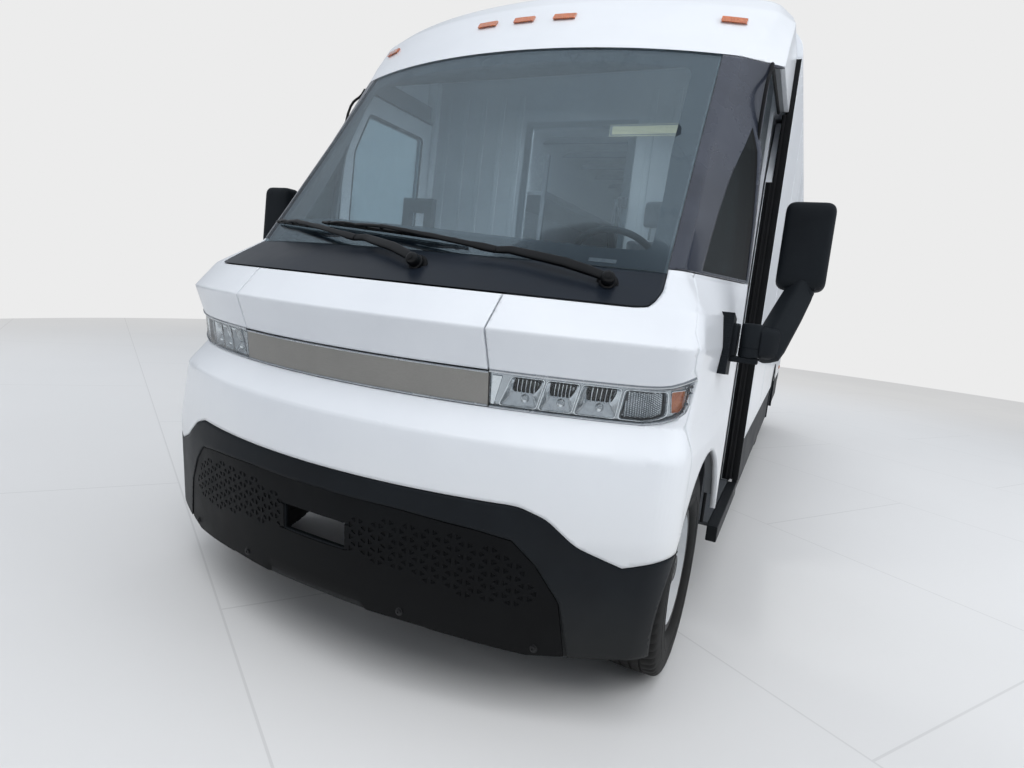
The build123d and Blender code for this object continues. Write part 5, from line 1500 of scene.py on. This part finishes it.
bm = bmesh.new()
for x in (-0.055, 0.055):
    addTube(bm, [(driverX + x, at(2.052), 1.66), (driverX + x, at(2.066), 1.76)], 0.006, 10, 0)
mouldedPart("headrest_stems", bm, [zincSteel], "body", "aluminium_case")

beltLook = {"width": 0.023, "path": [(0.325, 1.900, 0.985), (0.318, 1.960, 1.22), (0.300, 2.075, 1.60),
                                     (0.290, 2.112, 1.86)]}
bm = bmesh.new()
addTube(bm, smoothPath([(x, at(y), z) for x, y, z in beltLook["path"]], 6), beltLook["width"], 12, 0, 0.06,
        (0, 1, 0))
addBox(bm, (0.268, at(2.108), 1.840), (0.322, at(2.140), 1.900), 0.008, 1, None, 3)
mouldedPart("driver_seat_belt", bm, [seatCloth, dashPlastic], "body", "seat_fabric")
print("seats sewn")


# bulkhead, load space and underside

bm = bmesh.new()
for x in (-0.93, -0.80, -0.67, -0.54, -0.41, 0.40, 0.53, 0.66, 0.79, 0.92):
    addBox(bm, (x - 0.018, at(2.1435), 0.86), (x + 0.018, at(2.152), 2.50), 0.007, 0, None, 3)
mouldedPart("bulkhead_pressed_ribs", bm, [greyEnamel], "body", "grey_panel")
bm = bmesh.new()
for x in (-0.34, 0.30):
    addBox(bm, (x - 0.022, at(2.1400), 0.704), (x + 0.022, at(2.1525), 2.318), 0.004, 0, None, 2)
addBox(bm, (-0.362, at(2.1400), 2.300), (0.322, at(2.1525), 2.340), 0.004, 0, None, 2)
mouldedPart("bulkhead_doorway_frame", bm, [millAluminium], "body", "grey_panel")
bm = bmesh.new()
addBox(bm, (0.18, at(2.128), 2.255), (0.62, at(2.1495), 2.300), 0.006, 0, None, 3)
addBox(bm, (0.165, at(2.134), 2.245), (0.635, at(2.1495), 2.310), 0.003, 1, None, 2)
mouldedPart("cab_strip_lamp", bm, [stripLight, greyEnamel], "body", "lamp_lens")

bm = bmesh.new()
for sign in (1, -1):
    for z in (1.150, 1.600, 2.050):
        x = sorted((sign * 0.580, sign * 0.592))
        addBox(bm, (x[0], at(3.052), z - 0.012), (x[1], at(7.028), z + 0.045), 0.003, 0, None, 2)
for k in range(9):
    y = 2.45 + 0.55 * k
    addBox(bm, (-1.060, at(y) - 0.022, 2.690), (1.060, at(y) + 0.022, 2.7385), 0.004, 0, None, 1)
mouldedPart("shelf_lips_and_roof_bows", bm, [millAluminium], "body", "aluminium_case")

bm = bmesh.new()
for k in range(13):
    y = 1.55 + 0.265 * k
    addBox(bm, (-0.372, at(y) - 0.014, 0.3085), (0.372, at(y) + 0.014, 0.3215), 0.004, 0, None, 2)
for sign in (1, -1):
    for k in range(8):
        y = 1.60 + 0.44 * k
        x = sorted((sign * 0.384, sign * 0.400))
        addBox(bm, (x[0], at(y) - 0.05, 0.43), (x[1], at(y) + 0.05, 0.50), 0.004, 0, None, 2)
        addLathe(bm, [(0.010, 0), (0.010, 0.008), (0.006, 0.0095), (0, 0.0095)],
                 axisPlace((sign * 0.300, at(y), 0.3200), (0, 0, -1)), 6, 1)
mouldedPart("battery_case_ribs", bm, [millAluminium, zincSteel], "body", "aluminium_case")

bm = bmesh.new()
for sign in (1, -1):
    coil = []
    for k in range(121):
        a = 2 * math.pi * k / 20
        coil.append(Vector((sign * 0.600 + 0.052 * math.cos(a), at(0.860) + 0.052 * math.sin(a),
                            0.305 + 0.31 * k / 120)))
    addTube(bm, coil, 0.0075, 8, 0)
mouldedPart("front_coil_springs", bm, [chassisPaint], "body", "chassis_black")
for sign, side in ((1, "left"), (-1, "right")):
    bm = bmesh.new()
    place = (Matrix.Translation((sign * 0.868, at(0.815), 0.372))
             @ Matrix(((0, 0, sign, 0), (1, 0, 0, 0), (0, sign, 0, 0), (0, 0, 0, 1))))
    addLathe(bm, [(0.034, 0.0), (0.034, 0.012), (0.088, 0.012), (0.088, 0.018), (0.150, 0.018),
                  (0.150, 0.0), (0.088, 0.0),
                  (0.034, 0.0)], place, 56, 0)
    mouldedPart("brake_disc_" + side, bm, [castIron], "wheel_front_" + side, "cast_metal", smooth=30)
print("underside done")


# studio

studio = {"backdrop": "ececec", "fill": ("e2e8f0", 0.33, 0.76), "floor": ("d6d6d6", "dedede"),
          "seam": "cccccc",
          "disc": ((1.5, 2.5), 11.8), "tile": 3.0, "far": (5.0, 11.0), "lamps": (
    ("key", (1.5, -7, 7.5), (0.0, -2.0, 1.0), 6.0, 340), ("side", (8, -1, 5), (0.5, 0, 1.0), 6.0, 330),
    ("far", (-8, -3, 5), (-0.5, 0, 1.0), 6.0, 190), ("back", (0, 9, 6), (0, 3, 1.0), 6.0, 260),
    ("dome", (0.1, -2.3, 2.28), (0.0, -2.1, 0.9), 0.5, 9), ("load", (0, -0.9, 2.6), (0, -0.6, 0.7), 0.7, 26))}


def makeFloor(look):
    # pale sealed tiles with faint joints; away from the van the floor gives its own even light
    material, tree = newMaterial("sealedPaleTiles")
    place = addNode(tree, "TexCoord", {}).outputs["Object"]
    cloud = addNode(tree, "TexNoise", {"Vector": place, "Scale": 0.5, "Detail": 6.0}).outputs["Fac"]
    tones = addNode(tree, "ValToRGB", {"Fac": cloud})
    tones.color_ramp.elements[0].color = hexColor(look["floor"][0])
    tones.color_ramp.elements[1].color = hexColor(look["floor"][1])
    turned = addNode(tree, "Mapping", {"Vector": place, "Rotation": (0, 0, math.radians(32))}).outputs[0]
    bricks = addNode(tree, "TexBrick", {"Vector": turned, "Scale": 1.0, "Mortar Size": 0.005,
                                        "Mortar Smooth": 0.3,
                                        "Brick Width": look["tile"], "Row Height": look["tile"] * 0.55})
    color = addNode(tree, "Mix", {"data_type": "RGBA", 0: bricks.outputs["Fac"], 6: tones.outputs["Color"],
                                  7: look["seam"]}).outputs[2]
    apart = addNode(tree, "VectorMath", {"operation": "LENGTH", 0: place}).outputs["Value"]
    share = addNode(tree, "MapRange", {"Value": apart, "From Min": look["far"][0], "From Max": look["far"][1],
                                       "To Min": 0.0, "To Max": 0.85,
                                       "interpolation_type": "SMOOTHSTEP"}).outputs[0]
    matt = addNode(tree, "BsdfPrincipled", {"Base Color": color, "Roughness": 0.6}).outputs[0]
    glow = addNode(tree, "Emission", {"Color": color, "Strength": 0.95}).outputs[0]
    mixed = addNode(tree, "MixShader", {0: share, 1: matt, 2: glow})
    toOutput(tree, mixed.outputs[0])
    bm = bmesh.new()
    (x, y), radius = look["disc"]
    bmesh.ops.create_circle(bm, cap_ends=True, segments=180, radius=radius,
                            matrix=Matrix.Translation((x, y, 0)))
    floor = meshPiece("studio_floor", bm, [material], 0)


def makeStudio(look):
    world = bpy.data.worlds.new("studio")
    bpy.context.scene.world = world
    world.use_nodes = True
    tree = world.node_tree
    tree.nodes.clear()
    path = addNode(tree, "LightPath", {})
    direct = addNode(tree, "Math", {"operation": "MAXIMUM", 0: path.outputs["Is Camera Ray"],
                                    1: path.outputs["Is Transmission Ray"]})
    seen = addNode(tree, "Background", {"Color": look["backdrop"], "Strength": 1.0})
    up = addNode(tree, "SeparateXYZ", {0: addNode(tree, "TexCoord", {}).outputs["Generated"]}).outputs["Z"]
    glow = addNode(tree, "MapRange", {"Value": up, "From Min": -0.1, "From Max": 0.9,
                                      "To Min": look["fill"][1],
                                      "To Max": look["fill"][2]}).outputs[0]
    fill = addNode(tree, "Background", {"Color": look["fill"][0], "Strength": glow})
    pick = addNode(tree, "MixShader", {0: direct.outputs[0], 1: fill.outputs[0], 2: seen.outputs[0]})
    addNode(tree, "OutputWorld", {"Surface": pick.outputs[0]})
    makeFloor(look)
    for name, place, target, size, power in look["lamps"]:
        data = bpy.data.lights.new(name, "AREA")
        data.shape = "SQUARE"
        data.size = size
        data.energy = power
        lamp = bpy.data.objects.new(name, data)
        lamp.location = place
        lamp.visible_glossy = False
        lamp.rotation_euler = (Vector(target) - Vector(place)).to_track_quat("-Z", "Y").to_euler()
        bpy.context.scene.collection.objects.link(lamp)
    bpy.context.scene.view_settings.view_transform = "Standard"


makeStudio(studio)
